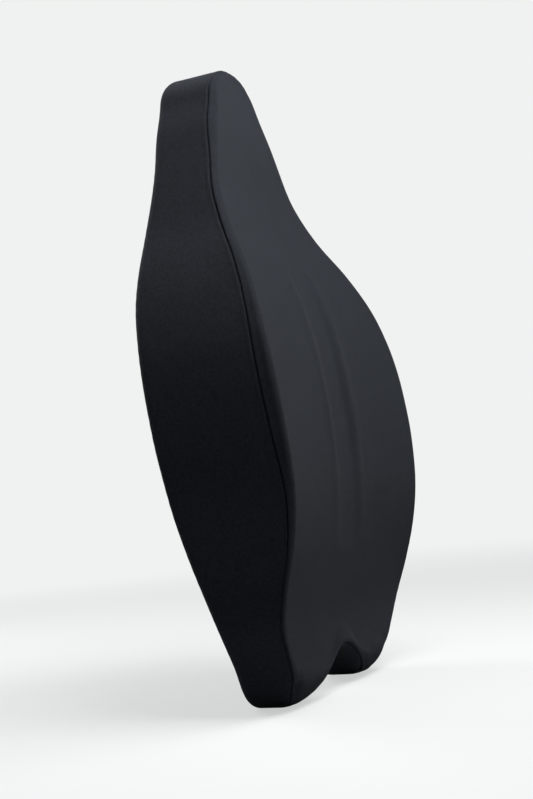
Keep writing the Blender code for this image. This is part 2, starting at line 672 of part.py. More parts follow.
def adjuster(prefix, webbing, plastic, mount, glide, second):
    """The tri-glide and the webbing's turn over its middle bar."""
    flat = WEBBING / 2
    frame_low = second + flat + CLEARANCE + 0.0008
    frame_high = frame_low + GLIDE_THICKNESS
    half = STRAP_WIDTH / 2 + BUCKLE_SIDE
    low, high = Vector((-GLIDE_HALF, frame_low, -half)), Vector((GLIDE_HALF, frame_high, half))
    frame = add(f"{prefix}_tri_glide", plate_mesh("glide", low, high, BUCKLE_CORNER), plastic, mount)
    frame.location.x = glide
    open_half = STRAP_WIDTH / 2 + SLOT_SIDE
    for side in (1, -1):
        span = sorted(side * edge for edge in GLIDE_SLOT)
        combine(frame, (span[0], 0, -open_half), (span[1], 0.02, open_half))
    under = frame_low - CLEARANCE - flat
    over = frame_high + CLEARANCE + flat
    centre = (under + over) / 2
    loop = [(-0.0148, second), (-0.0100, under), (0.0012, under), (0.0040, centre - 0.0012)]
    loop += [(0.0040, centre + 0.0012), (0.0012, over), (-0.0016, over), (-0.0044, over - 0.0016)]
    bight = add(f"{prefix}_webbing_bight", ribbon_mesh("bight", loop, STRAP_WIDTH, WEBBING), webbing, mount)
    bight.location.x = glide


def main():
    for thing in list(bpy.data.objects):
        bpy.data.objects.remove(thing, do_unlink=True)
    knit = finish("knit_cover", (0.020, 0.022, 0.026), 0.9)
    backing = finish("back_fabric", (0.014, 0.015, 0.017), 0.95)
    foam = finish("foam", (0.72, 0.70, 0.62), 0.95)
    board = finish("shell_plastic", (0.10, 0.10, 0.11), 0.5)
    tape = finish("zip_tape", (0.010, 0.010, 0.011), 0.9)
    metal = finish("zip_metal", (0.05, 0.05, 0.055), 0.35)
    webbing = finish("webbing", (0.012, 0.012, 0.014), 0.85)
    plastic = finish("buckle_plastic", (0.015, 0.015, 0.016), 0.4)
    label = finish("label", (0.55, 0.55, 0.54), 0.8)

    rows = envelope_rows()
    normals = surface_normals(rows)
    last = len(rows[0]) - 1
    cover_panel("front_panel", rows, normals, 0, FRONT_SEAM, knit)
    cover_panel("side_gusset", rows, normals, FRONT_SEAM, REAR_SEAM, knit)
    back = cover_panel("back_panel", rows, normals, REAR_SEAM, last, backing)
    foam_layer("front_foam", rows, normals, 0, SHELL_FRONT, foam)
    foam_layer("rear_foam", rows, normals, SHELL_REAR, last, foam)
    support_shell(rows, board)

    zip_mount = back_mount("zip_mount", ZIP_HEIGHT, 0)
    zip_fastener(tape, metal, zip_mount)
    half, wide = ZIP_LENGTH / 2 + ZIP_ROOM, TAPE_WIDTH + ZIP_ROOM
    opening_mesh = block_mesh("opening", [((-half, -0.01, -wide), (half, 0.01, wide))])
    opening = add("zip_opening_cutter", opening_mesh, None, zip_mount)
    opening.hide_render = True
    opening.display_type = "WIRE"
    back.modifiers.new("Zip opening", "BOOLEAN").object = opening

    for prefix, z in STRAPS.items():
        strap(prefix, z, webbing, plastic, backing)
    label_mount = back_mount("label_mount", LABEL_HEIGHT, LABEL_THICKNESS)
    low, high = (LABEL_SPAN[0], 0, -LABEL_HALF), (LABEL_SPAN[1], LABEL_THICKNESS, LABEL_HALF)
    add("care_label", block_mesh("label", [(low, high)]), label, label_mount)


main()
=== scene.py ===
"""Full-back support cushion for a chair, finished in Blender around its engineering frame.

The frame holds the moving parts in their true places. Each operator here makes one piece, or one group of
like pieces, in real cloth, webbing, plastic or metal, and hangs it on the frame's bodies.
X runs across the back, -Y is the side leaned on, +Z is up. Lengths are in metres.
"""

import json
import math

import bmesh
import bpy
import numpy as np
from bpy.props import FloatProperty, FloatVectorProperty, PointerProperty
from mathutils import Matrix, Vector, noise

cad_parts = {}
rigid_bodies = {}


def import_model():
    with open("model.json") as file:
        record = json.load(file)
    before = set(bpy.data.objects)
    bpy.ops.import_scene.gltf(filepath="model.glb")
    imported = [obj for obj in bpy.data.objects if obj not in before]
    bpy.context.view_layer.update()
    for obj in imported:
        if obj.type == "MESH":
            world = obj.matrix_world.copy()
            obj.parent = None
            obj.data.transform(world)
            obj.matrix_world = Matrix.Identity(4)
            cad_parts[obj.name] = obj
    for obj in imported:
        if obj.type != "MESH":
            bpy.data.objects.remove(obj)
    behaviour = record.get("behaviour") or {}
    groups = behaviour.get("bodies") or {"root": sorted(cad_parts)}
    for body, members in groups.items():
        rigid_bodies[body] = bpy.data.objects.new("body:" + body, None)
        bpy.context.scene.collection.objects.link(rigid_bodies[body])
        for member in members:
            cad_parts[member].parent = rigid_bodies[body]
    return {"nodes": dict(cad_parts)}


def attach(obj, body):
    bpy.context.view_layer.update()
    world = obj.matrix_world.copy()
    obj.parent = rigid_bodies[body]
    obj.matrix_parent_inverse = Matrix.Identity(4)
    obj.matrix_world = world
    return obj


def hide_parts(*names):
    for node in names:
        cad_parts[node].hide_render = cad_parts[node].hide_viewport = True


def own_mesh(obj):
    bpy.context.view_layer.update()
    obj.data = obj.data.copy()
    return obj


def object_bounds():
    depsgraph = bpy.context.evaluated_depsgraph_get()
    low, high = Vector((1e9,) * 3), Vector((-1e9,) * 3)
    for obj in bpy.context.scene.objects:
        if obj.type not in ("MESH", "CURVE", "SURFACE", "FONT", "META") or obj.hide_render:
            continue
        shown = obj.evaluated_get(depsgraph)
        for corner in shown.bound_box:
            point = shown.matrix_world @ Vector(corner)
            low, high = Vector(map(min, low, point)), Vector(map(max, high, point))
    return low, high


bl_info = {
    "name": "Back support cushion",
    "version": (1, 0, 0),
    "blender": (4, 5, 0),
    "location": "View3D > Sidebar > Back support",
    "description": "Makes a strapped foam back cushion, its zipped cover and its stage",
    "category": "Add Mesh",
}

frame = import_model()
CAD_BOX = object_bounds()

# Overall form, the same as the frame's
HEIGHT = CAD_BOX[1].z
WIDTH = 0.357
THICKNESS = 0.143
NOTCH_HEIGHT = 0.046
FOOT_INNER = 0.088
FOOT_FLAT = 0.016
CORNER_HEIGHT = 0.045
CORNER_POWER = 1.7
CAP_HEIGHT = 0.032
ARCH_ROLL = 0.007
ARCH_SEAM = 0.0062
ARCH_EDGE = 0.020
CENTRE_LOW = 0.030
CENTRE_HIGH = 0.020
DISH = 0.015
CHANNEL_DEPTH = 0.0035
CHANNEL_HALF_WIDTH = 0.024
CHANNEL_WALL = 0.0028
LIP_HEIGHT = 0.0016
LIP_SHIFT = 0.011
LIP_WIDTH = 0.009

# Shares of the height against shares of the half width, the thickness or a length
HALF_WIDTHS = (
    (0.045, 0.740), (0.089, 0.832), (0.134, 0.922), (0.178, 0.962), (0.238, 0.977), (0.317, 0.984),
    (0.416, 1.0), (0.49, 0.988), (0.549, 0.955), (0.61, 0.883), (0.669, 0.780), (0.728, 0.653),
    (0.788, 0.555), (0.847, 0.465), (0.899, 0.387), (0.943, 0.303), (1.0, 0.251),
)
THICKNESSES = (
    (0.0, 0.463), (0.089, 0.481), (0.134, 0.525), (0.178, 0.628), (0.238, 0.794), (0.307, 0.932),
    (0.371, 0.985), (0.445, 1.0), (0.549, 0.975), (0.61, 0.933), (0.669, 0.831), (0.728, 0.684),
    (0.788, 0.563), (0.891, 0.516), (1.0, 0.475),
)
LEANS = (
    (0.0, -0.0161), (0.089, -0.0180), (0.178, -0.0219), (0.238, -0.0221), (0.307, -0.0201),
    (0.371, -0.0168), (0.49, -0.0075), (0.549, -0.0010), (0.61, 0.0080), (0.669, 0.0182),
    (0.728, 0.0301), (0.788, 0.0374), (0.847, 0.0408), (1.0, 0.0497),
)
EDGE_RADII = (
    (0.0, 0.034), (0.02, 0.026), (0.045, 0.014), (0.075, 0.0085), (0.12, 0.0065), (0.3, 0.0055),
    (0.6, 0.005), (0.8, 0.006), (0.92, 0.010), (1.0, 0.011),
)
SEAM_REACHES = (
    (0.0, 0.040), (0.02, 0.027), (0.045, 0.013), (0.075, 0.0078), (0.12, 0.0072), (0.25, 0.0088),
    (0.32, 0.0125), (0.40, 0.0175), (0.49, 0.0190), (0.57, 0.0165), (0.65, 0.0135), (0.76, 0.0100),
    (0.83, 0.0100), (0.9, 0.0160), (1.0, 0.0230),
)
SEAM_DEPTHS = ((0.0, 0.25), (0.3, 0.25), (0.55, 0.8), (0.8, 1.0), (1.0, 0.9))
REAR_ROLLS = ((0.0, 0.012), (0.05, 0.0125), (0.12, 0.010), (1.0, 0.012))
DISHES = ((0.0, 0.1), (0.12, 0.45), (0.28, 1.0), (0.45, 0.8), (0.63, 0.5), (0.8, 0.2), (1.0, 0.05))

# Density of the cloth meshes
ROW_STEP = 0.0028
FACE_STEPS = 64
EDGE_STEPS = 12
WALL_STEPS = 18
BACK_STEPS = 36
SEAM_STATIONS = (0.0, 0.0003, 0.0007, 0.0012, 0.0018, 0.0026, 0.0037, 0.0052, 0.0075)

# Straps and zip, the same as the frame's
STRAPS = {"upper": HEIGHT * 0.6176, "lower": HEIGHT * 0.2976}
STRAP_LIFT = 0.0008
STRAP_WIDTH = 0.030
WEBBING = 0.0015
STRAP_INSET = 0.030
PATCH_LENGTH = 0.030
BUCKLE_MOUTH = -0.020
SOCKET_LENGTH = 0.030
BUCKLE_THICKNESS = 0.009
GLIDE_GAP = 0.060
CLEARANCE = 0.0003
BUCKLE_LIFT = 0.0006
BAR_OFFSET = 0.008  # from the end of the socket to its bar
BAR_HALF = 0.0015
PLUG_BAR = 0.018  # from the buckle's mouth to the plug's bar
PLUG_LENGTH = 0.020
SPLIT = 0.010  # from the plug's bar to where the running webbing starts
SECOND_GAP = 0.0004  # between two layers of webbing
WRAP_ROOM = 0.0002  # between the webbing and a bar that it turns round
TURN_START = 0.003  # from a bar to where its webbing starts to turn
RAMP = 0.016  # from a bar to where its webbing lies flat
GLIDE_THICKNESS = 0.0024
GLIDE_LIFT = 0.0008
ZIP_HEIGHT = HEIGHT * 0.4613
ZIP_LENGTH = 0.250
TAPE_WIDTH = 0.013
TOOTH_PITCH = 0.004
TAPE_GAP = 0.0002
ZIP_ROOM = 0.0004

# Finer work on the zip, and the label
TOOTH_TAPER = 0.86
TOOTH_BEVEL = 0.00008
TOOTH_STEPS = (  # from and to across the zip, length along it, height
    (0.0010, 0.0024, 0.0012, 0.0011),
    (0.0002, 0.0011, 0.0009, 0.0014),
    (-0.0006, 0.0003, 0.0013, 0.0012),
)
TAPE_STEPS = 60
TAPE_PROFILE = (  # across the zip, out of the cushion
    (TAPE_GAP, -0.0006), (TAPE_GAP, 0.0001), (0.0012, 0.0003), (0.0023, 0.0001), (0.0028, -0.0001),
    (TAPE_WIDTH * 0.6, -0.0001), (TAPE_WIDTH, -0.0001), (TAPE_WIDTH, -0.0006),
)
OPENING_HALF = ZIP_LENGTH / 2 + ZIP_ROOM
OPENING_WIDE = TAPE_WIDTH + ZIP_ROOM
POCKET_DEPTH = 0.01  # of the cut behind the zip
HEM_OVERLAP = 0.0035  # of the hem over the tapes
HEM_REACH = 0.0045  # of the hem out over the back panel
HEM_CORNER = 0.003
HEM_RISE = 0.0009
HEM_PROFILE = (  # share of the way out, height
    (0.0, -0.0004), (0.0, 0.0003), (0.06, 0.0008), (0.2, HEM_RISE), (0.42, HEM_RISE),
    (0.5, HEM_RISE - 0.0003), (0.58, HEM_RISE), (0.85, HEM_RISE - 0.0001), (0.97, 0.0003), (1.0, -0.0004),
)
LABEL_HEIGHT = HEIGHT * 0.3839
LABEL_SPAN = (0.030, 0.065)
LABEL_HALF = 0.011
LABEL_THICKNESS = 0.0006

# Cloth: gathers and ridges along the seams, flecks, and the edges and stitches of patches
GATHER_FADE = 0.006
GATHER_PITCH = 0.013
DRIFT_PITCH = 0.071
SEAM_TURN = 0.0010
RIDGE_PLACE = 0.0022
SETTLE = 0.012  # from a seam to where the foam's own unevenness shows in full
FLECKED = 1.4  # how far the flecks change the cloth's colour
FLOOR_GAP = 0.0002
PATCH_CORNER = 0.0025
PATCH_EDGE = 0.0012
STITCH_INSET = 0.0030
DENT = 0.00035
DENT_WIDTH = 0.0008

# Stage
LIGHTS = (  # name, place, what it points at, size, power
    ("Key", (-0.24, -0.40, 1.20), (0, 0, 0.40), 0.6, 10),
    ("Front fill", (0.16, -0.61, 1.04), (0, 0, 0.40), 0.6, 5),
    ("Back fill", (0.35, 1.30, 0.95), (0, 0, 0.36), 0.9, 12),
)
LENS = 63.08
CAMERA_PLACE = (-1.3660, -0.6208, 0.2394)
CAMERA_AHEAD = (0.9063, 0.4199, 0.0478)
CAMERA_UP = (0.0, -0.1132, 0.9936)
BACKDROP = (0.871, 0.886, 0.879)
FLOOR_GLOW = 0.63
FLOOR_TAKES = 0.42
FLOOR_FADE = (0.6, 2.2)
SKY_LEVEL = 0.10
SKY_TOP = 0.05


# ---------------------------------------------------------------- settings


class CushionSizes(bpy.types.PropertyGroup):
    """Sizes of the cloth work that a maker would change."""

    seam_depth: FloatProperty(
        name="Seam depth", description="How far the cloth turns in at a seam",
        default=0.0020, min=0, unit="LENGTH")
    seam_ridge: FloatProperty(
        name="Seam ridge", description="How far the cloth stands proud beside a seam",
        default=0.0006, min=0, unit="LENGTH")
    pucker: FloatProperty(
        name="Pucker", description="Height of the small gathers along the seams",
        default=0.00018, min=0, unit="LENGTH")
    slack: FloatProperty(
        name="Slack", description="Height of the broad unevenness of the foam under the cloth",
        default=0.0009, min=0, unit="LENGTH")
    wale: FloatProperty(
        name="Knit wale", description="Width of one column of knitted loops",
        default=0.0012, min=0.0002, unit="LENGTH")
    thread: FloatProperty(
        name="Thread", description="Thickness of the sewing thread",
        default=0.00055, min=0.0001, unit="LENGTH")
    stitch: FloatProperty(
        name="Stitch", description="Length of one stitch",
        default=0.0030, min=0.001, unit="LENGTH")


class CushionColours(bpy.types.PropertyGroup):
    """Colours of the finishes."""

    knit: FloatVectorProperty(
        name="Knit cover", description="Front and side cloth", subtype="COLOR", size=3,
        default=(0.0138, 0.0172, 0.0232))
    back: FloatVectorProperty(
        name="Back fabric", description="Cloth against the chair", subtype="COLOR", size=3,
        default=(0.017, 0.018, 0.020))
    webbing: FloatVectorProperty(
        name="Webbing", description="Straps", subtype="COLOR", size=3, default=(0.012, 0.012, 0.014))
    plastic: FloatVectorProperty(
        name="Buckle plastic", description="Buckles and adjusters", subtype="COLOR", size=3,
        default=(0.016, 0.016, 0.017))
    metal: FloatVectorProperty(
        name="Zip metal", description="Teeth, stops, slider and pull", subtype="COLOR", size=3,
        default=(0.10, 0.10, 0.105))
    label: FloatVectorProperty(
        name="Care label", description="The blank sewn label", subtype="COLOR", size=3,
        default=(0.60, 0.60, 0.58))
    floor: FloatVectorProperty(
        name="Floor", description="The studio floor", subtype="COLOR", size=3,
        default=(0.86, 0.87, 0.875))


# ---------------------------------------------------------------- the cushion's form


def smooth(stations, level):
    """A smooth curve through (level, value) stations, held at its end values outside them."""
    places, values = np.array(stations).T
    slopes = np.gradient(values, places)
    level = np.clip(level, places[0], places[-1])
    index = np.clip(np.searchsorted(places, level, side="right") - 1, 0, len(places) - 2)
    span = places[index + 1] - places[index]
    t = (level - places[index]) / span
    rise = values[index + 1] - values[index]
    bend_in = slopes[index] * span - rise
    bend_out = slopes[index + 1] * span - rise
    return values[index] + rise * t + t * (1 - t) * (bend_in * (1 - t) - bend_out * t)


def half_width(z):
    return smooth(HALF_WIDTHS, z / HEIGHT) * WIDTH / 2


def front_edge(z):
    return smooth(LEANS, z / HEIGHT) - smooth(THICKNESSES, z / HEIGHT) * THICKNESS / 2


def rear_edge(z):
    return smooth(LEANS, z / HEIGHT) + smooth(THICKNESSES, z / HEIGHT) * THICKNESS / 2


def front_face(x, z, share):
    """The front surface; share runs from 0 on the centre line to 1 where the edge starts to roll."""
    dish = DISH * smooth(DISHES, z / HEIGHT) * (1 - share * share)
    fade = np.clip(1 - np.abs(z / HEIGHT - 0.44) / 0.22, 0, 1) ** 0.5
    wall = 1 / (1 + np.exp((np.abs(x) - CHANNEL_HALF_WIDTH) / CHANNEL_WALL))
    lip = np.exp(-(((np.abs(x) - CHANNEL_HALF_WIDTH - LIP_SHIFT) / LIP_WIDTH) ** 2))
    return front_edge(z) + dish + fade * (CHANNEL_DEPTH * wall - LIP_HEIGHT * lip)


def half_outline():
    """The +X half of the outline from the notch's top to the dome's top: evenly spaced (x, z), smoothed."""
    share = np.linspace(0, 1, 60)
    arch = np.stack([FOOT_INNER * share, NOTCH_HEIGHT * (1 + np.cos(np.pi * share)) / 2], 1)
    toe = FOOT_INNER + FOOT_FLAT
    across = (half_width(CORNER_HEIGHT) - toe) * share
    corner = np.stack([toe + across, CORNER_HEIGHT * share**CORNER_POWER], 1)
    z = np.linspace(CORNER_HEIGHT, HEIGHT - CAP_HEIGHT, 200)[1:]
    side = np.stack([half_width(z), z], 1)
    angle = np.pi / 2 * (1 - share[1:])
    z = HEIGHT - CAP_HEIGHT * (1 - np.cos(angle))
    cap = np.stack([half_width(z) * np.sin(angle), z], 1)
    line = np.concatenate([arch, corner, side, cap])
    steps = np.concatenate([[0], np.cumsum(np.linalg.norm(np.diff(line, axis=0), axis=1))])
    even = np.linspace(0, steps[-1], int(steps[-1] / ROW_STEP) + 1)
    line = np.stack([np.interp(even, steps, line[:, 0]), np.interp(even, steps, line[:, 1])], 1)
    for _ in range(6):
        line[1:-1] = line[1:-1] / 2 + (line[:-2] + line[2:]) / 4
    return line, even


def inward_normals(line):
    """Unit normals into the body, straight up or down where the outline meets the centre plane."""
    before = np.vstack([[-line[1, 0], line[1, 1]], line[:-1]])
    after = np.vstack([line[1:], [-line[-2, 0], line[-2, 1]]])
    run = after - before
    run /= np.linalg.norm(run, axis=1)[:, None]
    return np.stack([-run[:, 1], run[:, 0]], 1)


def centre_heights(line):
    """Where on the centre line each outline point's row ends, from over the notch to under the dome."""
    low = NOTCH_HEIGHT + CENTRE_LOW
    high = HEIGHT - CENTRE_HIGH
    step = np.diff(line, axis=0)
    length = np.linalg.norm(step, axis=1)
    steps = np.concatenate([[0], np.cumsum(np.maximum(step[:, 1], 0.12 * length))])
    return low + (high - low) * steps / steps[-1]


class Form:
    """The +X half of the cushion's skin, made panel by panel on one set of rows."""

    def __init__(self):
        self.line, self.along = half_outline()
        self.inward = inward_normals(self.line)
        self.centre = centre_heights(self.line)
        z = self.line[:, 1]
        onto = np.clip((self.line[:, 0] - ARCH_EDGE) / (FOOT_INNER - ARCH_EDGE), 0, 1)
        onto = onto * onto * (3 - 2 * onto)
        lifted = (onto * np.clip(1 - z / CORNER_HEIGHT, 0, 1))[:, None]
        self.inward = self.inward * (1 - lifted) + np.array([0, 1]) * lifted
        self.inward /= np.linalg.norm(self.inward, axis=1)[:, None]
        self.radius = ARCH_ROLL + (smooth(EDGE_RADII, z / HEIGHT) - ARCH_ROLL) * onto
        self.back_roll = smooth(REAR_ROLLS, z / HEIGHT)
        self.flat = rear_edge(z) - self.back_roll - front_edge(z) - self.radius
        self.seam = ARCH_SEAM + (smooth(SEAM_REACHES, z / HEIGHT) - ARCH_SEAM) * onto
        self.round = self.radius * np.pi / 2 + self.flat + self.back_roll * np.pi / 2

    def face(self, share, inset):
        """Flat places (x, z) on a row, from the centre line to a distance in from the outline."""
        inner = self.line + self.inward * inset[:, None]
        start = np.stack([np.zeros(len(inner)), self.centre], 1)
        return start + (inner - start) * share

    def around(self, reach):
        """Points round the side, at a distance along the skin from where the front starts to roll."""
        arc = self.radius * np.pi / 2
        angle = np.clip(reach / self.radius, 0, np.pi / 2)
        down = np.clip(reach - arc, 0, self.flat)
        turn = np.clip((reach - arc - self.flat) / self.back_roll, 0, np.pi / 2)
        inset = self.radius * (1 - np.sin(angle)) + self.back_roll * (1 - np.cos(turn))
        at = self.line + self.inward * inset[:, None]
        front = front_edge(at[:, 1]) + self.radius * (1 - np.cos(angle)) + down
        rear = rear_edge(at[:, 1]) - self.back_roll * (1 - np.sin(turn))
        y = np.where(reach > arc + self.flat, rear, front)
        return np.stack([at[:, 0], y, at[:, 1]], 1)

    def front(self):
        """Points, cloth coordinates and distances to the seam of the front panel."""
        points, cloth, gaps = [], [], []
        for share in np.linspace(0, 1, FACE_STEPS):
            at = self.face(share, self.radius)
            points.append(np.stack([at[:, 0], front_face(at[:, 0], at[:, 1], share), at[:, 1]], 1))
            cloth.append(at)
            gaps.append((1 - share) * 0.1 + self.seam)
        for gap in seam_stations(self.seam, EDGE_STEPS)[::-1]:
            points.append(self.around(self.seam - gap))
            cloth.append(self.line + self.inward * (self.radius - self.seam + gap)[:, None])
            gaps.append(gap)
        return [np.stack(made, 1) for made in (points, cloth, gaps)]

    def wall(self):
        """Points, cloth coordinates and distances to the nearer seam of the side gusset."""
        length = self.round - self.seam
        stations = seam_stations(length / 2, WALL_STEPS)
        places = stations + [length / 2] + [length - place for place in stations[::-1]]
        points = [self.around(self.seam + place) for place in places]
        cloth = [np.stack([place, self.along], 1) for place in places]
        gaps = [np.minimum(place, length - place) for place in places]
        return [np.stack(made, 1) for made in (points, cloth, gaps)]

    def back(self):
        """Points, cloth coordinates and distances to the seam of the back panel, from the seam inwards."""
        inner = self.face(1.0, self.back_roll)
        centre = self.face(0.0, self.back_roll)
        reach = np.linalg.norm(centre - inner, axis=1)
        points, cloth, gaps = [], [], []
        for gap in seam_stations(reach, BACK_STEPS) + [reach]:
            at = inner + (centre - inner) * (gap / reach)[:, None]
            points.append(np.stack([at[:, 0], rear_edge(at[:, 1]), at[:, 1]], 1))
            cloth.append(at)
            gaps.append(gap)
        return [np.stack(made, 1) for made in (points, cloth, gaps)]


def seam_stations(length, steps):
    """Distances from a seam: its own close stations, then even steps that stop one short of the length."""
    squeeze = np.minimum(1, 0.7 * length / SEAM_STATIONS[-1])
    near = [gap * squeeze for gap in SEAM_STATIONS]
    return near + [near[-1] + (length - near[-1]) * step / steps for step in range(1, steps)]


def grid_normals(points):
    """Outward unit normals of a grid of points, flat in X on the centre plane."""
    along = np.gradient(points, axis=0)
    across = np.gradient(points, axis=1)
    normals = np.cross(across, along)
    normals[points[..., 0] < 1e-7, 0] = 0
    return normals / np.maximum(np.linalg.norm(normals, axis=2), 1e-12)[..., None]


def seam_profile(gap, sizes):
    """Height of the cloth at a distance from a seam: turned in at the seam, proud beside it, level beyond."""
    turn = np.exp(-((gap / SEAM_TURN) ** 2))
    ridge = (gap / RIDGE_PLACE) ** 2 * np.exp(1 - (gap / RIDGE_PLACE) ** 2 * 0.9)
    return sizes.seam_ridge * ridge - sizes.seam_depth * turn


def unevenness(x, y, z, sizes):
    """The broad, shallow unevenness of foam under stretched cloth."""
    broad = noise.noise(Vector((x * 9, y * 9, z * 7)) + Vector((3.1, 7.7, 1.3)))
    fine = noise.noise(Vector((x * 26, y * 26, z * 20)) + Vector((11.4, 2.9, 5.6)))
    return sizes.slack * (broad + 0.35 * fine)


def cloth_panel(name, grid, along, material, sizes):
    """A cloth panel with both of its mirrored halves, its seams turned in and its surface slightly uneven."""
    points, cloth, gaps = grid
    normals = grid_normals(points)
    gather = np.exp(-gaps / GATHER_FADE) * np.cos(along * 2 * np.pi / GATHER_PITCH)[:, None]
    drift = np.cos(along * 2 * np.pi / DRIFT_PITCH)[:, None]
    depth = smooth(SEAM_DEPTHS, points[:, :1, 2] / HEIGHT)
    depth = np.maximum(depth, np.clip((FOOT_INNER - points[:, :1, 0]) / 0.02, 0, 1))
    lift = depth * seam_profile(gaps, sizes) + sizes.pucker * gather * (0.6 + 0.4 * drift)
    settle = np.clip(gaps / SETTLE, 0, 1)
    mesh = bpy.data.meshes.new(name)
    verts, faces, uvs = [], [], []
    rows, columns = gaps.shape
    for side in (1, -1):
        start = len(verts)
        for i in range(rows):
            for j in range(columns):
                x, y, z = points[i, j] * (side, 1, 1)
                rise = lift[i, j] + settle[i, j] * unevenness(x, y, z, sizes)
                made = Vector((x, y, z)) + Vector(normals[i, j] * (side, 1, 1)) * rise
                made.z = max(made.z, FLOOR_GAP)
                verts.append(made)
                uvs.append((cloth[i, j, 0] * side, cloth[i, j, 1]))
        for i in range(rows - 1):
            for j in range(columns - 1):
                a = start + i * columns + j
                face = (a, a + 1, a + columns + 1, a + columns)
                faces.append(face if side > 0 else face[::-1])
    mesh.from_pydata(verts, [], faces)
    layer = mesh.uv_layers.new(name="Cloth")
    order = np.zeros(len(mesh.loops), np.int32)
    mesh.loops.foreach_get("vertex_index", order)
    layer.data.foreach_set("uv", np.array(uvs, np.float32)[order].ravel())
    bm = bmesh.new()
    bm.from_mesh(mesh)
    bmesh.ops.remove_doubles(bm, verts=bm.verts, dist=2e-6)
    bm.to_mesh(mesh)
    bm.free()
    mesh.shade_smooth()
    return add(name, mesh, material)


# ---------------------------------------------------------------- mesh helpers


def add(name, mesh, material, matrix=None):
    thing = bpy.data.objects.new(name, mesh)
    bpy.context.scene.collection.objects.link(thing)
    mesh.materials.append(material)
    if matrix is not None:
        mesh.transform(matrix)
    return thing


def place(thing, body, slot, nodes=()):
    """Hangs a piece on a frame body and hides the frame nodes it stands for. The name of its finish is not
    used.
    """
    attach(thing, body)
    if nodes:
        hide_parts(*nodes)
    return thing


def back_mount(z, lift):
    """The place on the back face at a height: Y out of the face, Z up along it."""
    step = 0.01
    slope = (rear_edge(z + step) - rear_edge(z - step)) / (2 * step)
    out = Vector((0, 1, -slope)).normalized()
    turn = Matrix.Rotation(-math.atan(slope), 4, "X")
    return Matrix.Translation(Vector((0, float(rear_edge(z)), z)) + lift * out) @ turn


def rounded_path(points, radius, steps=6):
    """An (x, y) path with its corners rounded by arcs no larger than their runs allow."""
    points = [Vector(point) for point in points]
    path = [points[0]]
    for before, corner, after in zip(points, points[1:], points[2:]):
        reach = min(radius, (before - corner).length * 0.48, (after - corner).length * 0.48)
        start = corner + (before - corner).normalized() * reach
        end = corner + (after - corner).normalized() * reach
        for step in range(steps + 1):
            t = step / steps
            path.append(start.lerp(corner, t).lerp(corner.lerp(end, t), t))
    path.append(points[-1])
    return path


def half_turn(bar_x, bar_y, reach, steps=10):
    """Points of a webbing path round a bar, from under it to over it, on the side that reach points to."""
    angles = [-math.pi / 2 + math.pi * step / steps for step in range(steps + 1)]
    return [(bar_x + reach * math.cos(a), bar_y + abs(reach) * math.sin(a)) for a in angles]


def mesh_from(bm, name, sharp=None):
    """The finished mesh, shaded smooth but for edges sharper than an angle in degrees."""
    mesh = bpy.data.meshes.new(name)
    bm.to_mesh(mesh)
    bm.free()
    mesh.shade_smooth()
    if sharp:
        mesh.set_sharp_from_angle(angle=math.radians(sharp))
    return mesh


def cloth_faces(bm, layer, low, high, closed=True):
    """Faces between two rows of (vertex, cloth coordinate) pairs, all the way round when they are closed."""
    for k in range(len(low) if closed else len(low) - 1):
        m = (k + 1) % len(low)
        corners = (low[k], low[m], high[m], high[k])
        face = bm.faces.new([vert for vert, _ in corners])
        for loop, (_, uv) in zip(face.loops, corners):
            loop[layer].uv = uv


def recalculated(bm):
    """The faces, once their normals agree with one another."""
    bmesh.ops.recalc_face_normals(bm, faces=bm.faces)
    return bm.faces


def face_out(bm, outward):
    """Turns the faces over when most of them point into the cushion."""
    if sum(outward) < 0:
        bmesh.ops.reverse_faces(bm, faces=bm.faces)


def webbing_band(name, path, material, matrix, step=0.004):
    """A woven band along an (x, y) path: full in the middle, thin at its edges."""
    dense = [Vector(path[0])]
    for point in path[1:]:
        point = Vector(point)
        run = point - dense[-1]
        if run.length < 1e-5:
            continue
        count = max(1, math.ceil(run.length / step))
        start = dense[-1]
        dense += [start + run * k / count for k in range(1, count + 1)]
    half = STRAP_WIDTH / 2
    across = [half * math.sin(math.pi / 2 * k / 9) for k in range(-9, 10)]
    bm = bmesh.new()
    layer = bm.loops.layers.uv.new("Cloth")
    rings = []
    travelled = 0.0
    for i, point in enumerate(dense):
        run = dense[min(i + 1, len(dense) - 1)] - dense[max(i - 1, 0)]
        side = Vector((-run.y, run.x)).normalized()
        if i:
            travelled += (point - dense[i - 1]).length
        ring = []
        for sign, line in ((1, across), (-1, across[::-1])):
            for z in line[:-1]:
                edge = math.sqrt(max(0.0, 1 - (z / half) ** 6))
                at = point + side * (sign * WEBBING / 2 * (0.25 + 0.75 * edge) * (1 if abs(z) < half else 0))
                ring.append((bm.verts.new((at.x, at.y, z)), (travelled, z)))
        rings.append(ring)
    for low, high in zip(rings, rings[1:]):
        cloth_faces(bm, layer, low, high)
    bm.faces.new([vert for vert, _ in rings[0]])
    bm.faces.new([vert for vert, _ in rings[-1]][::-1])
    bmesh.ops.recalc_face_normals(bm, faces=bm.faces)
    return add(name, mesh_from(bm, name, 60), material, matrix)


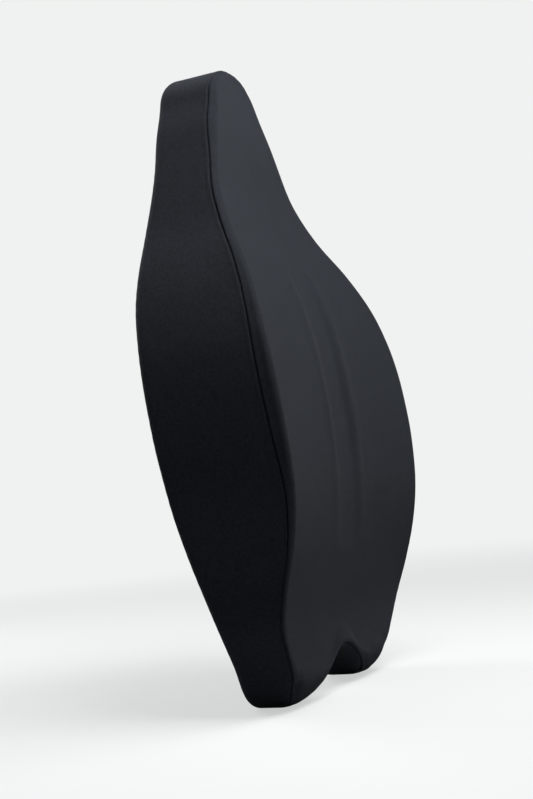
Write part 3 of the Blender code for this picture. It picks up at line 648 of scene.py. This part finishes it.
def sewn_patch(name, low, high, base, thick, material, matrix):
    """A cloth patch lying on something: softly crowned, its edges rolled down, its corners rounded."""
    steps_x, steps_z = (max(8, int((high[k] - low[k]) / PATCH_EDGE)) for k in (0, 1))
    centre = ((low[0] + high[0]) / 2, (low[1] + high[1]) / 2)
    half = ((high[0] - low[0]) / 2, (high[1] - low[1]) / 2)
    bm = bmesh.new()
    layer = bm.loops.layers.uv.new("Cloth")
    grid = []
    for i in range(steps_x + 1):
        line = []
        for j in range(steps_z + 1):
            u, w = 2 * i / steps_x - 1, 2 * j / steps_z - 1
            x, z = half[0] * math.sin(u * math.pi / 2), half[1] * math.sin(w * math.pi / 2)
            over = Vector((max(0, abs(x) - half[0] + PATCH_CORNER), max(0, abs(z) - half[1] + PATCH_CORNER)))
            if over.x > 0 and over.y > 0 and over.length > PATCH_CORNER:
                pull = over * (1 - PATCH_CORNER / over.length)
                x -= math.copysign(pull.x, x)
                z -= math.copysign(pull.y, z)
            gap = min(half[0] - abs(x), half[1] - abs(z), PATCH_CORNER - over.length if min(over) > 0 else 1)
            gap = max(gap, 0)
            rise = thick * min(1, math.sqrt(gap / PATCH_EDGE))
            dent = DENT * math.exp(-(((gap - STITCH_INSET) / DENT_WIDTH) ** 2))
            line.append((bm.verts.new((centre[0] + x, base + rise - dent, centre[1] + z)), (x, z)))
        grid.append(line)
    for low_line, high_line in zip(grid, grid[1:]):
        cloth_faces(bm, layer, low_line, high_line, closed=False)
    face_out(bm, [face.normal.y for face in recalculated(bm)])
    return add(name, mesh_from(bm, name), material, matrix)


def stitch_rows(name, runs, height, material, matrix, sizes):
    """Lockstitches along straight (x, z) runs: each a short thread that dips into the cloth at both ends."""
    bm = bmesh.new()
    radius = sizes.thread / 2
    for start, end in runs:
        start, end = Vector(start), Vector(end)
        run = end - start
        count = max(1, round(run.length / sizes.stitch))
        heading = run.normalized()
        side = Vector((-heading.y, heading.x))
        for k in range(count):
            base = start + run * (k + 0.08) / count
            length = run.length / count * 0.84
            rings = []
            for step in range(7):
                t = step / 6
                girth = radius * math.sqrt(max(0.05, 1 - (2 * t - 1) ** 4))
                rise = height + radius * 0.9 * math.sin(math.pi * t) - radius * 0.4
                mid = base + heading * (length * t)
                ring = []
                for turn in range(6):
                    angle = math.pi / 3 * turn
                    at = mid + side * (girth * math.cos(angle))
                    ring.append(bm.verts.new((at.x, rise + girth * math.sin(angle), at.y)))
                rings.append(ring)
            for low, high in zip(rings, rings[1:]):
                for m in range(6):
                    bm.faces.new((low[m], low[(m + 1) % 6], high[(m + 1) % 6], high[m]))
            bm.faces.new(rings[0][::-1])
            bm.faces.new(rings[-1])
    recalculated(bm)
    return add(name, mesh_from(bm, name), material, matrix)


def rounded_box(half_x, half_z, corner, step=0.003):
    """Points round a box with rounded corners, about a step apart."""
    points = []
    for side_x, side_z, turn in ((1, 1, 0), (-1, 1, 1), (-1, -1, 2), (1, -1, 3)):
        for k in range(7):
            angle = math.pi / 2 * (turn + k / 6)
            x = side_x * (half_x - corner) + corner * math.cos(angle)
            points.append(Vector((x, side_z * (half_z - corner) + corner * math.sin(angle))))
    dense = []
    for start, end in zip(points, points[1:] + points[:1]):
        count = max(1, math.ceil((end - start).length / step))
        dense += [tuple(start.lerp(end, k / count)) for k in range(count)]
    return dense


def box_runs(low, high, cross):
    """Runs round a box, with both diagonals when it is box-and-cross stitching."""
    a, b, c, d = low, (high[0], low[1]), high, (low[0], high[1])
    runs = [(a, b), (b, c), (c, d), (d, a)]
    return runs + [(a, c), (b, d)] if cross else runs


# ---------------------------------------------------------------- finishes


def wire(tree, value, socket):
    """Links a socket, or sets a constant on it."""
    if isinstance(value, bpy.types.NodeSocket):
        tree.links.new(value, socket)
    else:
        socket.default_value = value


def calc(tree, operation, *values):
    node = tree.nodes.new("ShaderNodeMath")
    node.operation = operation
    for value, socket in zip(values, node.inputs):
        wire(tree, value, socket)
    return node.outputs[0]


def new_group(name, inputs, outputs):
    """A shader node group with named float or vector inputs and outputs."""
    tree = bpy.data.node_groups.new(name, "ShaderNodeTree")
    for title, kind, value in inputs:
        socket = tree.interface.new_socket(name=title, in_out="INPUT", socket_type=f"NodeSocket{kind}")
        if value is not None:
            socket.default_value = value
    for title, kind in outputs:
        tree.interface.new_socket(name=title, in_out="OUTPUT", socket_type=f"NodeSocket{kind}")
    return tree, tree.nodes.new("NodeGroupInput").outputs, tree.nodes.new("NodeGroupOutput").inputs


def knit_group():
    """Rows of knitted loops: two slanting legs to each column, with a dip between them."""
    name = "Knit loops"
    if name in bpy.data.node_groups:
        return bpy.data.node_groups[name]
    tree, given, made = new_group(
        name, (("Cloth", "Vector", None), ("Wale", "Float", 0.001), ("Course", "Float", 0.0008)),
        (("Height", "Float"), ("Gap", "Float")))
    split = tree.nodes.new("ShaderNodeSeparateXYZ")
    tree.links.new(given["Cloth"], split.inputs[0])
    across = calc(tree, "DIVIDE", split.outputs["X"], given["Wale"])
    up = calc(tree, "DIVIDE", split.outputs["Y"], given["Course"])
    offset = calc(tree, "ABSOLUTE", calc(tree, "SUBTRACT", calc(tree, "FRACT", across), 0.5))
    leg = calc(tree, "SUBTRACT", calc(tree, "MULTIPLY", offset, 4.0), 1.0)
    leg = calc(tree, "SUBTRACT", 1.0, calc(tree, "MULTIPLY", leg, leg))
    phase = calc(tree, "ADD", up, calc(tree, "MULTIPLY", offset, 1.2))
    bead = calc(tree, "COSINE", calc(tree, "MULTIPLY", phase, 2 * math.pi))
    bead = calc(tree, "MULTIPLY_ADD", bead, 0.3, 0.7)
    height = calc(tree, "MULTIPLY", leg, bead)
    tree.links.new(height, made["Height"])
    tree.links.new(calc(tree, "SUBTRACT", 1.0, height), made["Gap"])
    return tree


def weave_group():
    """Plain weave: threads over and under one another in both directions."""
    name = "Plain weave"
    if name in bpy.data.node_groups:
        return bpy.data.node_groups[name]
    tree, given, made = new_group(
        name, (("Cloth", "Vector", None), ("Warp", "Float", 0.001), ("Weft", "Float", 0.001)),
        (("Height", "Float"), ("Gap", "Float")))
    split = tree.nodes.new("ShaderNodeSeparateXYZ")
    tree.links.new(given["Cloth"], split.inputs[0])
    waves = []
    for axis, pitch in (("X", "Warp"), ("Y", "Weft")):
        turn = calc(tree, "MULTIPLY", calc(tree, "DIVIDE", split.outputs[axis], given[pitch]), math.pi)
        waves.append(calc(tree, "COSINE", turn))
    over = calc(tree, "MULTIPLY", *waves)
    rise = calc(tree, "MULTIPLY_ADD", over, 0.35, 0.65)
    warp = calc(tree, "MULTIPLY", calc(tree, "ABSOLUTE", waves[0]), rise)
    dip = calc(tree, "MULTIPLY_ADD", over, -0.35, 0.65)
    weft = calc(tree, "MULTIPLY", calc(tree, "ABSOLUTE", waves[1]), dip)
    height = calc(tree, "MAXIMUM", warp, weft)
    tree.links.new(height, made["Height"])
    tree.links.new(calc(tree, "SUBTRACT", 1.0, height), made["Gap"])
    return tree


def mottle_group():
    """Slow changes over a surface and a fine grain, both about zero."""
    name = "Mottle and grain"
    if name in bpy.data.node_groups:
        return bpy.data.node_groups[name]
    tree, given, made = new_group(
        name, (("Place", "Vector", None), ("Mottle Scale", "Float", 20.0), ("Grain Scale", "Float", 900.0)),
        (("Mottle", "Float"), ("Grain", "Float")))
    for title, scale, detail in (("Mottle", "Mottle Scale", 3.0), ("Grain", "Grain Scale", 2.0)):
        field = tree.nodes.new("ShaderNodeTexNoise")
        field.inputs["Detail"].default_value = detail
        tree.links.new(given["Place"], field.inputs["Vector"])
        tree.links.new(given[scale], field.inputs["Scale"])
        tree.links.new(calc(tree, "SUBTRACT", field.outputs[0], 0.5), made[title])
    return tree


def use_group(tree, group, **values):
    node = tree.nodes.new("ShaderNodeGroup")
    node.node_tree = group
    for name, value in values.items():
        wire(tree, value, node.inputs[name.replace("_", " ")])
    return node.outputs


def new_material(name):
    material = bpy.data.materials.new(name)
    material.use_nodes = True
    tree = material.node_tree
    shader = tree.nodes["Principled BSDF"]
    places = tree.nodes.new("ShaderNodeTexCoord")
    return material, tree, shader, places


def shaded(tree, colour, factor, low, high):
    """A colour scaled by a factor that is mapped from 0..1 to low..high."""
    level = calc(tree, "MULTIPLY_ADD", factor, high - low, low)
    mix = tree.nodes.new("ShaderNodeMix")
    mix.data_type = "RGBA"
    mix.blend_type = "MULTIPLY"
    mix.inputs["Factor"].default_value = 1.0
    wire(tree, colour if isinstance(colour, bpy.types.NodeSocket) else (*colour, 1), mix.inputs["A"])
    grey = tree.nodes.new("ShaderNodeCombineColor")
    for socket in grey.inputs[:3]:
        tree.links.new(level, socket)
    tree.links.new(grey.outputs[0], mix.inputs["B"])
    return mix.outputs["Result"]


def raise_bump(tree, shader, layers):
    """Stacks (height, depth in metres) layers of bump into the shader's normal."""
    normal = None
    for height, depth in layers:
        bump = tree.nodes.new("ShaderNodeBump")
        bump.inputs["Strength"].default_value = 1.0
        bump.inputs["Distance"].default_value = depth
        tree.links.new(height, bump.inputs["Height"])
        if normal:
            tree.links.new(normal, bump.inputs["Normal"])
        normal = bump.outputs[0]
    tree.links.new(normal, shader.inputs["Normal"])


def uneven(tree, places, mottle_scale, grain_scale):
    """The mottle and the grain at a place on the piece, each at its own scale."""
    scales = {"Mottle_Scale": mottle_scale, "Grain_Scale": grain_scale}
    return use_group(tree, mottle_group(), Place=places.outputs["Object"], **scales)


def cloth_material(name, colour, group, pitch, depth, roughness, sheen, gap_shade=0.55, mottle=0.35):
    """Cloth with its own knit or weave, painted shade in the gaps between its loops and threads and a lighter
    colour on their tops, lint-like grain, fine flecks and slow colour change.
    """
    if name in bpy.data.materials:
        return bpy.data.materials[name]
    material, tree, shader, places = new_material(name)
    cloth = tree.nodes.new("ShaderNodeUVMap")
    cloth.uv_map = "Cloth"
    names = ("Wale", "Course") if group.name == "Knit loops" else ("Warp", "Weft")
    pattern = use_group(tree, group, Cloth=cloth.outputs[0], **dict(zip(names, pitch)))
    drift = uneven(tree, places, 14.0, 700.0)
    # Painted shade: the colour is darker in the gaps between the loops and threads and lighter on their
    # raised tops.
    base = shaded(tree, colour, pattern["Height"], 1 - gap_shade, 1 + gap_shade * 0.4)
    base = shaded(tree, base, drift["Mottle"], 1.0, 1.0 + mottle)
    base = shaded(tree, base, drift["Grain"], 1.0, 1.6)
    flecks = uneven(tree, places, 330.0, 900.0)
    base = shaded(tree, base, flecks["Mottle"], 1.0, 1.0 + FLECKED)
    tree.links.new(base, shader.inputs["Base Color"])
    rough = calc(tree, "MULTIPLY_ADD", pattern["Gap"], 0.08, roughness)
    tree.links.new(rough, shader.inputs["Roughness"])
    shader.inputs["Specular IOR Level"].default_value = 0.20
    shader.inputs["Sheen Weight"].default_value = sheen
    shader.inputs["Sheen Roughness"].default_value = 0.45
    shader.inputs["Sheen Tint"].default_value = (0.82, 0.88, 1.0, 1)
    raise_bump(tree, shader, ((pattern["Height"], depth), (drift["Grain"], depth * 0.5)))
    return material


def plastic_material(name, colour, roughness, grain=0.00002):
    """Moulded plastic: satin, very slightly uneven, with fine mould grain."""
    if name in bpy.data.materials:
        return bpy.data.materials[name]
    material, tree, shader, places = new_material(name)
    drift = uneven(tree, places, 60.0, 2600.0)
    tree.links.new(shaded(tree, colour, drift["Mottle"], 1.0, 1.5), shader.inputs["Base Color"])
    tree.links.new(calc(tree, "MULTIPLY_ADD", drift["Mottle"], 0.25, roughness), shader.inputs["Roughness"])
    raise_bump(tree, shader, ((drift["Grain"], grain),))
    return material


def metal_material(colour):
    """Dark plated zip metal with rubbed highlights."""
    name = "zip_metal_dark"
    if name in bpy.data.materials:
        return bpy.data.materials[name]
    material, tree, shader, places = new_material(name)
    drift = uneven(tree, places, 300.0, 4000.0)
    tree.links.new(shaded(tree, colour, drift["Mottle"], 1.0, 2.2), shader.inputs["Base Color"])
    tree.links.new(calc(tree, "MULTIPLY_ADD", drift["Grain"], 0.3, 0.34), shader.inputs["Roughness"])
    shader.inputs["Metallic"].default_value = 0.9
    raise_bump(tree, shader, ((drift["Grain"], 0.00001),))
    return material


def knit_finish(colours, sizes):
    pitch = (sizes.wale, sizes.wale * 0.8)
    return cloth_material(
        "knit_cover_cloth", colours.knit, knit_group(), pitch, depth=0.00022, roughness=0.86, sheen=0.05)


def back_finish(colours):
    return cloth_material(
        "back_fabric_cloth", colours.back, weave_group(), (0.0011, 0.0011), depth=0.0002, roughness=0.86,
        sheen=0.2)


def webbing_finish(colours):
    return cloth_material(
        "webbing_cloth", colours.webbing, weave_group(), (0.0008, 0.0017), depth=0.0003, roughness=0.62,
        sheen=0.2, gap_shade=0.7, mottle=0.2)


def thread_finish(colours):
    return plastic_material("sewing_thread", [c * 1.8 for c in colours.webbing], 0.7)


def rounded_nodes(names, material, edge):
    """Gives frame nodes a finish and softly rounded edges."""
    for name in names:
        node = frame["nodes"][name]
        for holder in node.material_slots:
            holder.material = material
        weld = node.modifiers.new("Joined corners", "WELD")
        weld.merge_threshold = 1e-5
        bevel = node.modifiers.new("Rounded edges", "BEVEL")
        bevel.width = edge
        bevel.segments = 3
        bevel.limit_method = "ANGLE"
        bevel.angle_limit = math.radians(35)


# ---------------------------------------------------------------- operators


class CUSHION_OT_front_cover(bpy.types.Operator):
    """Makes the knitted front panel, dished, with its spine channel and its edge rolled over the foam"""

    bl_idname = "cushion.front_cover"
    bl_label = "Front cover"

    def execute(self, context):
        sizes, colours = context.scene.cushion_sizes, context.scene.cushion_colours
        form = Form()
        cover = cloth_panel("front_cover", form.front(), form.along, knit_finish(colours, sizes), sizes)
        place(cover, "root", "knit_cover", ("front_panel", "front_foam"))
        return {"FINISHED"}


class CUSHION_OT_side_cover(bpy.types.Operator):
    """Makes the knitted side gusset that joins the front panel to the back panel all round"""

    bl_idname = "cushion.side_cover"
    bl_label = "Side cover"

    def execute(self, context):
        sizes, colours = context.scene.cushion_sizes, context.scene.cushion_colours
        form = Form()
        cover = cloth_panel("side_cover", form.wall(), form.along, knit_finish(colours, sizes), sizes)
        place(cover, "root", "knit_cover", ("side_gusset",))
        return {"FINISHED"}


class CUSHION_OT_back_cover(bpy.types.Operator):
    """Makes the woven back panel, cut where the zip sits"""

    bl_idname = "cushion.back_cover"
    bl_label = "Back cover"

    def execute(self, context):
        sizes, colours = context.scene.cushion_sizes, context.scene.cushion_colours
        form = Form()
        cloth = back_finish(colours)
        cover = cloth_panel("back_cover", form.back(), form.along, cloth, sizes)
        self.cut_opening(cover)
        place(cover, "root", "back_fabric", ("back_panel", "rear_foam", "support_shell"))
        return {"FINISHED"}

    def cut_opening(self, cover):
        """Cuts the zip's place into the back panel: a shallow pocket, whose floor lies behind the tapes."""
        bm = bmesh.new()
        bmesh.ops.create_cube(bm, size=2)
        for vert in bm.verts:
            vert.co *= Vector((OPENING_HALF, POCKET_DEPTH, OPENING_WIDE))
        bm.transform(back_mount(ZIP_HEIGHT, 0))
        mesh = bpy.data.meshes.new("opening")
        bm.to_mesh(mesh)
        bm.free()
        cutter = bpy.data.objects.new("opening", mesh)
        bpy.context.scene.collection.objects.link(cutter)
        opening = cover.modifiers.new("Opening", "BOOLEAN")
        opening.object = cutter
        opening.use_self = False
        bpy.context.view_layer.objects.active = cover
        bpy.ops.object.modifier_apply(modifier=opening.name)
        bpy.data.objects.remove(cutter, do_unlink=True)
        bpy.data.meshes.remove(mesh)


class CUSHION_OT_straps(bpy.types.Operator):
    """Makes both chair straps: webbing, anchors and stitching, with their buckles and adjusters finished"""

    bl_idname = "cushion.straps"
    bl_label = "Chair straps"

    def execute(self, context):
        sizes, colours = context.scene.cushion_sizes, context.scene.cushion_colours
        for prefix, z in STRAPS.items():
            self.webbing(prefix, z, webbing_finish(colours))
            self.anchors(prefix, z, colours, sizes)
            plastic = plastic_material("buckle_plastic_satin", colours.plastic, 0.42)
            names = ("buckle_socket", "buckle_plug", "prong_upper", "prong_lower", "tri_glide")
            rounded_nodes([f"{prefix}_{name}" for name in names], plastic, 0.0004)
        return {"FINISHED"}

    def webbing(self, prefix, z, cloth):
        """The four lengths of webbing, each on the body that carries it."""
        mount = back_mount(z, STRAP_LIFT)
        reach = float(half_width(z)) - STRAP_INSET
        flat = WEBBING / 2
        second = flat + WEBBING + SECOND_GAP
        middle = BUCKLE_LIFT + BUCKLE_THICKNESS / 2
        turn = BAR_HALF + CLEARANCE + flat
        bar = BUCKLE_MOUTH - SOCKET_LENGTH - BAR_OFFSET
        path = [(-reach, flat), (bar - RAMP, flat), (bar - TURN_START, middle - turn)]
        path += half_turn(bar + 0.0010, middle, turn + WRAP_ROOM)
        path += [(bar - TURN_START, middle + turn), (bar - RAMP, second), (bar - 0.028, second)]
        name = f"{prefix}_webbing_left"
        band = webbing_band(f"{prefix}_strap_left", path, cloth, mount)
        place(band, "root", "webbing", (name,))

        plug_bar = BUCKLE_MOUTH + PLUG_BAR
        glide = BUCKLE_MOUTH + PLUG_LENGTH + GLIDE_GAP
        split = plug_bar + SPLIT
        band = webbing_band(f"{prefix}_strap_right", [(split + CLEARANCE, flat), (reach, flat)], cloth, mount)
        place(band, "root", "webbing", (f"{prefix}_webbing_right",))
        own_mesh(band)

        path = [(split, flat + 0.0001), (plug_bar + TURN_START, middle - turn)]
        path += half_turn(plug_bar - 0.0010, middle, -turn - WRAP_ROOM)
        path += [(plug_bar + TURN_START, middle + turn), (split + 0.006, second), (glide - 0.015, second)]
        band = webbing_band(f"{prefix}_strap_fold", path, cloth, mount)
        place(band, f"{prefix}_plug", "webbing", (f"{prefix}_webbing_fold",))
        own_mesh(band)

        frame_low = second + flat + CLEARANCE + GLIDE_LIFT
        under = frame_low - CLEARANCE - flat
        over = frame_low + GLIDE_THICKNESS + CLEARANCE + flat
        centre = (under + over) / 2
        path = [(-0.0148, second), (-0.0100, under), (0.0012, under), (0.0040, centre - 0.0012)]
        path += [(0.0040, centre + 0.0012), (0.0012, over), (-0.0016, over), (-0.0044, over - 0.0016)]
        path = [(x + glide, y) for x, y in path]
        band = webbing_band(f"{prefix}_strap_bight", rounded_path(path, 0.002), cloth, mount, 0.002)
        place(band, f"{prefix}_glide", "webbing", (f"{prefix}_webbing_bight",))

    def anchors(self, prefix, z, colours, sizes):
        """The sewn patches at both ends, with box-and-cross stitching."""
        mount = back_mount(z, STRAP_LIFT)
        reach = float(half_width(z)) - STRAP_INSET
        half = STRAP_WIDTH / 2 + 0.003
        cloth = back_finish(colours)
        thread = thread_finish(colours)
        for side_name, side in (("left", -1), ("right", 1)):
            ends = sorted((side * (reach + 0.003), side * (reach + 0.003 - PATCH_LENGTH)))
            low, high = (ends[0], -half), (ends[1], half)
            base = WEBBING + CLEARANCE
            patch = sewn_patch(f"{prefix}_patch_{side_name}", low, high, base - 0.0012, 0.0022, cloth, mount)
            place(patch, "root", "back_fabric", (f"{prefix}_anchor_{side_name}",))
            edge = 0.0032
            runs = box_runs((low[0] + edge, low[1] + edge), (high[0] - edge, high[1] - edge), True)
            rows = stitch_rows(
                f"{prefix}_stitching_{side_name}", runs, base + 0.0010, thread, mount, sizes)
            place(rows, "root", "webbing")


class CUSHION_OT_zip(bpy.types.Operator):
    """Makes the zip: woven tapes, both rows of teeth and the stitched hem, with its metal finished"""

    bl_idname = "cushion.zip"
    bl_label = "Zip"

    def execute(self, context):
        sizes, colours = context.scene.cushion_sizes, context.scene.cushion_colours
        mount = back_mount(ZIP_HEIGHT, 0)
        metal = metal_material(colours.metal)
        tape = cloth_material(
            "zip_tape_twill", colours.webbing, weave_group(), (0.0006, 0.0009), depth=0.0001, roughness=0.75,
            sheen=0.05, gap_shade=0.6, mottle=0.2)
        for name, side in (("upper", 1), ("lower", -1)):
            self.tape(name, side, tape, mount)
            place(self.teeth(name, side, metal, mount), "root", "zip_metal", (f"zip_teeth_{name}",))
        self.hem(back_finish(colours), thread_finish(colours), mount, sizes)
        rounded_nodes(("zip_slider", "zip_pull", "zip_end_stop_left", "zip_end_stop_right"), metal, 0.0002)
        return {"FINISHED"}

    def tape(self, name, side, material, mount):
        """One woven tape with a corded edge under its teeth."""
        half = ZIP_LENGTH / 2
        bm = bmesh.new()
        layer = bm.loops.layers.uv.new("Cloth")
        rings = []
        for step in range(TAPE_STEPS + 1):
            x = half * (2 * step / TAPE_STEPS - 1)
            rings.append([(bm.verts.new((x, y, side * z)), (z, x)) for z, y in TAPE_PROFILE])
        for low, high in zip(rings, rings[1:]):
            cloth_faces(bm, layer, low, high)
        for ring in (rings[0], rings[-1]):
            bm.faces.new([vert for vert, _ in ring])
        recalculated(bm)
        made = add(f"zip_tape_{name}_woven", mesh_from(bm, f"zip_tape_{name}", 35), material, mount)
        place(made, "root", "zip_tape", (f"zip_tape_{name}",))

    def teeth(self, name, side, material, mount):
        """Separate teeth on the tape's cord, each with a head that reaches past the middle of the zip."""
        half = ZIP_LENGTH / 2 - TOOTH_PITCH
        pitch = TOOTH_PITCH / 2
        count = int(2 * half / pitch)
        shift = side * pitch / 4
        bm = bmesh.new()
        for index in range(count):
            x = (index - (count - 1) / 2) * pitch + shift
            for low_z, high_z, long, high in TOOTH_STEPS:
                box = bmesh.ops.create_cube(bm, size=1)["verts"]
                for vert in box:
                    taper = TOOTH_TAPER if vert.co.y > 0 else 1.0
                    z = low_z + (high_z - low_z) * (vert.co.z + 0.5)
                    y = CLEARANCE + (high * (vert.co.y + 0.5))
                    vert.co = Vector((x + vert.co.x * long * taper, y, side * z))
        recalculated(bm)
        bmesh.ops.bevel(bm, geom=list(bm.edges), offset=TOOTH_BEVEL, segments=1, profile=0.5, affect="EDGES")
        return add(f"zip_teeth_{name}_row", mesh_from(bm, f"zip_teeth_{name}", 40), material, mount)

    def hem(self, cloth, thread, mount, sizes):
        """A folded cloth edge round the zip, stitched down all round."""
        inner_x, inner_z = OPENING_HALF - HEM_OVERLAP, OPENING_WIDE - HEM_OVERLAP
        outer_x, outer_z = OPENING_HALF + HEM_REACH, OPENING_WIDE + HEM_REACH
        bm = bmesh.new()
        layer = bm.loops.layers.uv.new("Cloth")
        rings = []
        for share, rise in HEM_PROFILE:
            half_x, half_z = inner_x + (outer_x - inner_x) * share, inner_z + (outer_z - inner_z) * share
            line = rounded_box(half_x, half_z, HEM_CORNER)
            rings.append([(bm.verts.new((x, rise, z)), (x, z)) for x, z in line])
        for low, high in zip(rings, rings[1:]):
            cloth_faces(bm, layer, low, high)
        face_out(bm, [face.normal.y * face.calc_area() for face in recalculated(bm)])
        place(add("zip_hem", mesh_from(bm, "zip_hem", 60), cloth, mount), "root", "back_fabric")
        middle_x, middle_z = (inner_x + outer_x) / 2, (inner_z + outer_z) / 2
        runs = box_runs((-middle_x, -middle_z), (middle_x, middle_z), False)
        place(stitch_rows("zip_hem_stitching", runs, HEM_RISE, thread, mount, sizes), "root", "back_fabric")


class CUSHION_OT_label(bpy.types.Operator):
    """Makes the blank care label"""

    bl_idname = "cushion.label"
    bl_label = "Care label"

    def execute(self, context):
        sizes, colours = context.scene.cushion_sizes, context.scene.cushion_colours
        mount = back_mount(LABEL_HEIGHT, LABEL_THICKNESS)
        satin = cloth_material(
            "label_satin", colours.label, weave_group(), (0.0005, 0.0003), depth=0.00004, roughness=0.5,
            sheen=0.1, gap_shade=0.2)
        low, high = (LABEL_SPAN[0], -LABEL_HALF), (LABEL_SPAN[1], LABEL_HALF)
        label = sewn_patch("label_satin_patch", low, high, -0.0002, 0.0008, satin, mount)
        place(label, "root", "label", ("care_label",))
        runs = box_runs((low[0] + 0.002, low[1] + 0.002), (high[0] - 0.002, high[1] - 0.002), False)
        thread = thread_finish(colours)
        place(stitch_rows("label_stitching", runs, LABEL_THICKNESS, thread, mount, sizes), "root", "label")
        return {"FINISHED"}


class CUSHION_OT_stage(bpy.types.Operator):
    """Sets the pale floor, the soft studio lights and the camera"""

    bl_idname = "cushion.stage"
    bl_label = "Stage"

    def execute(self, context):
        scene = context.scene
        scene.view_settings.view_transform = "Standard"
        self.floor(scene.cushion_colours)
        self.world(scene)
        for light in LIGHTS:
            self.light(*light)
        self.camera(scene)
        return {"FINISHED"}

    def floor(self, colours):
        """A pale sheet that the camera always sees bright, and that takes soft shadows."""
        bm = bmesh.new()
        bmesh.ops.create_circle(bm, cap_ends=True, segments=96, radius=40)
        mesh = bpy.data.meshes.new("floor")
        bm.to_mesh(mesh)
        bm.free()
        material, tree, shader, places = new_material("floor_paper")
        length = tree.nodes.new("ShaderNodeVectorMath")
        length.operation = "LENGTH"
        tree.links.new(places.outputs["Object"], length.inputs[0])
        fade = tree.nodes.new("ShaderNodeMapRange")
        fade.interpolation_type = "SMOOTHSTEP"
        tree.links.new(length.outputs["Value"], fade.inputs["Value"])
        fade.inputs["From Min"].default_value, fade.inputs["From Max"].default_value = FLOOR_FADE
        taken = shaded(tree, colours.floor, fade.outputs["Result"], FLOOR_TAKES, 0.0)
        tree.links.new(taken, shader.inputs["Base Color"])
        shader.inputs["Roughness"].default_value = 1.0
        shader.inputs["Specular IOR Level"].default_value = 0.0
        glow = shaded(tree, BACKDROP, fade.outputs["Result"], FLOOR_GLOW, 1.0)
        tree.links.new(glow, shader.inputs["Emission Color"])
        paths = tree.nodes.new("ShaderNodeLightPath")
        tree.links.new(paths.outputs["Is Camera Ray"], shader.inputs["Emission Strength"])
        floor = add("floor", mesh, material)
        floor.location.z = -FLOOR_GAP

    def world(self, scene):
        """An even pale backdrop for the camera, and a dimmer sky that is brighter overhead for the light."""
        world = bpy.data.worlds.new("Studio")
        world.use_nodes = True
        tree = world.node_tree
        seen = tree.nodes["Background"]
        seen.inputs["Color"].default_value = (*BACKDROP, 1)
        sky = tree.nodes.new("ShaderNodeBackground")
        sky.inputs["Color"].default_value = (0.86, 0.92, 1.0, 1)
        places = tree.nodes.new("ShaderNodeTexCoord")
        split = tree.nodes.new("ShaderNodeSeparateXYZ")
        tree.links.new(places.outputs["Generated"], split.inputs[0])
        up = calc(tree, "MAXIMUM", split.outputs["Z"], 0.0)
        tree.links.new(calc(tree, "MULTIPLY_ADD", up, SKY_TOP, SKY_LEVEL), sky.inputs["Strength"])
        paths = tree.nodes.new("ShaderNodeLightPath")
        mix = tree.nodes.new("ShaderNodeMixShader")
        tree.links.new(paths.outputs["Is Camera Ray"], mix.inputs[0])
        tree.links.new(sky.outputs[0], mix.inputs[1])
        tree.links.new(seen.outputs[0], mix.inputs[2])
        tree.links.new(mix.outputs[0], tree.nodes["World Output"].inputs["Surface"])
        scene.world = world

    def light(self, name, spot, target, size, power):
        data = bpy.data.lights.new(name, "AREA")
        data.shape = "DISK"
        data.size = size
        data.energy = power
        lamp = bpy.data.objects.new(name, data)
        bpy.context.scene.collection.objects.link(lamp)
        lamp.location = spot
        lamp.rotation_euler = (Vector(target) - Vector(spot)).to_track_quat("-Z", "Y").to_euler()

    def camera(self, scene):
        data = bpy.data.cameras.new("Camera")
        data.lens = LENS
        data.sensor_width = 36
        data.clip_start = 0.05
        data.clip_end = 200
        camera = bpy.data.objects.new("Camera", data)
        scene.collection.objects.link(camera)
        ahead = Vector(CAMERA_AHEAD).normalized()
        right = ahead.cross(Vector(CAMERA_UP)).normalized()
        up = right.cross(ahead)
        turn = Matrix((right, up, -ahead)).transposed().to_4x4()
        camera.matrix_world = Matrix.Translation(CAMERA_PLACE) @ turn
        scene.camera = camera


class CUSHION_PT_sidebar(bpy.types.Panel):
    """Lists the pieces and their settings in the sidebar"""

    bl_idname = "CUSHION_PT_sidebar"
    bl_label = "Back support"
    bl_space_type = "VIEW_3D"
    bl_region_type = "UI"
    bl_category = "Back support"

    def draw(self, context):
        for group in (context.scene.cushion_sizes, context.scene.cushion_colours):
            box = self.layout.box()
            for name in group.bl_rna.properties.keys():
                if name not in ("rna_type", "name"):
                    box.prop(group, name)
        for operator in PIECES:
            self.layout.operator(operator.bl_idname)


PIECES = (
    CUSHION_OT_stage,
    CUSHION_OT_front_cover,
    CUSHION_OT_side_cover,
    CUSHION_OT_back_cover,
    CUSHION_OT_straps,
    CUSHION_OT_zip,
    CUSHION_OT_label,
)


def register():
    for made in (CushionSizes, CushionColours, *PIECES, CUSHION_PT_sidebar):
        bpy.utils.register_class(made)
    bpy.types.Scene.cushion_sizes = PointerProperty(type=CushionSizes)
    bpy.types.Scene.cushion_colours = PointerProperty(type=CushionColours)


def unregister():
    del bpy.types.Scene.cushion_colours
    del bpy.types.Scene.cushion_sizes
    for made in reversed((CushionSizes, CushionColours, *PIECES, CUSHION_PT_sidebar)):
        bpy.utils.unregister_class(made)


def main():
    register()
    for name in list(bpy.data.objects.keys()):
        thing = bpy.data.objects[name]
        if thing.type in ("LIGHT", "CAMERA") or name == "Cube":
            bpy.data.objects.remove(thing, do_unlink=True)
    for operator in PIECES:
        group, name = operator.bl_idname.split(".")
        getattr(getattr(bpy.ops, group), name)()


if __name__ == "__main__":
    main()
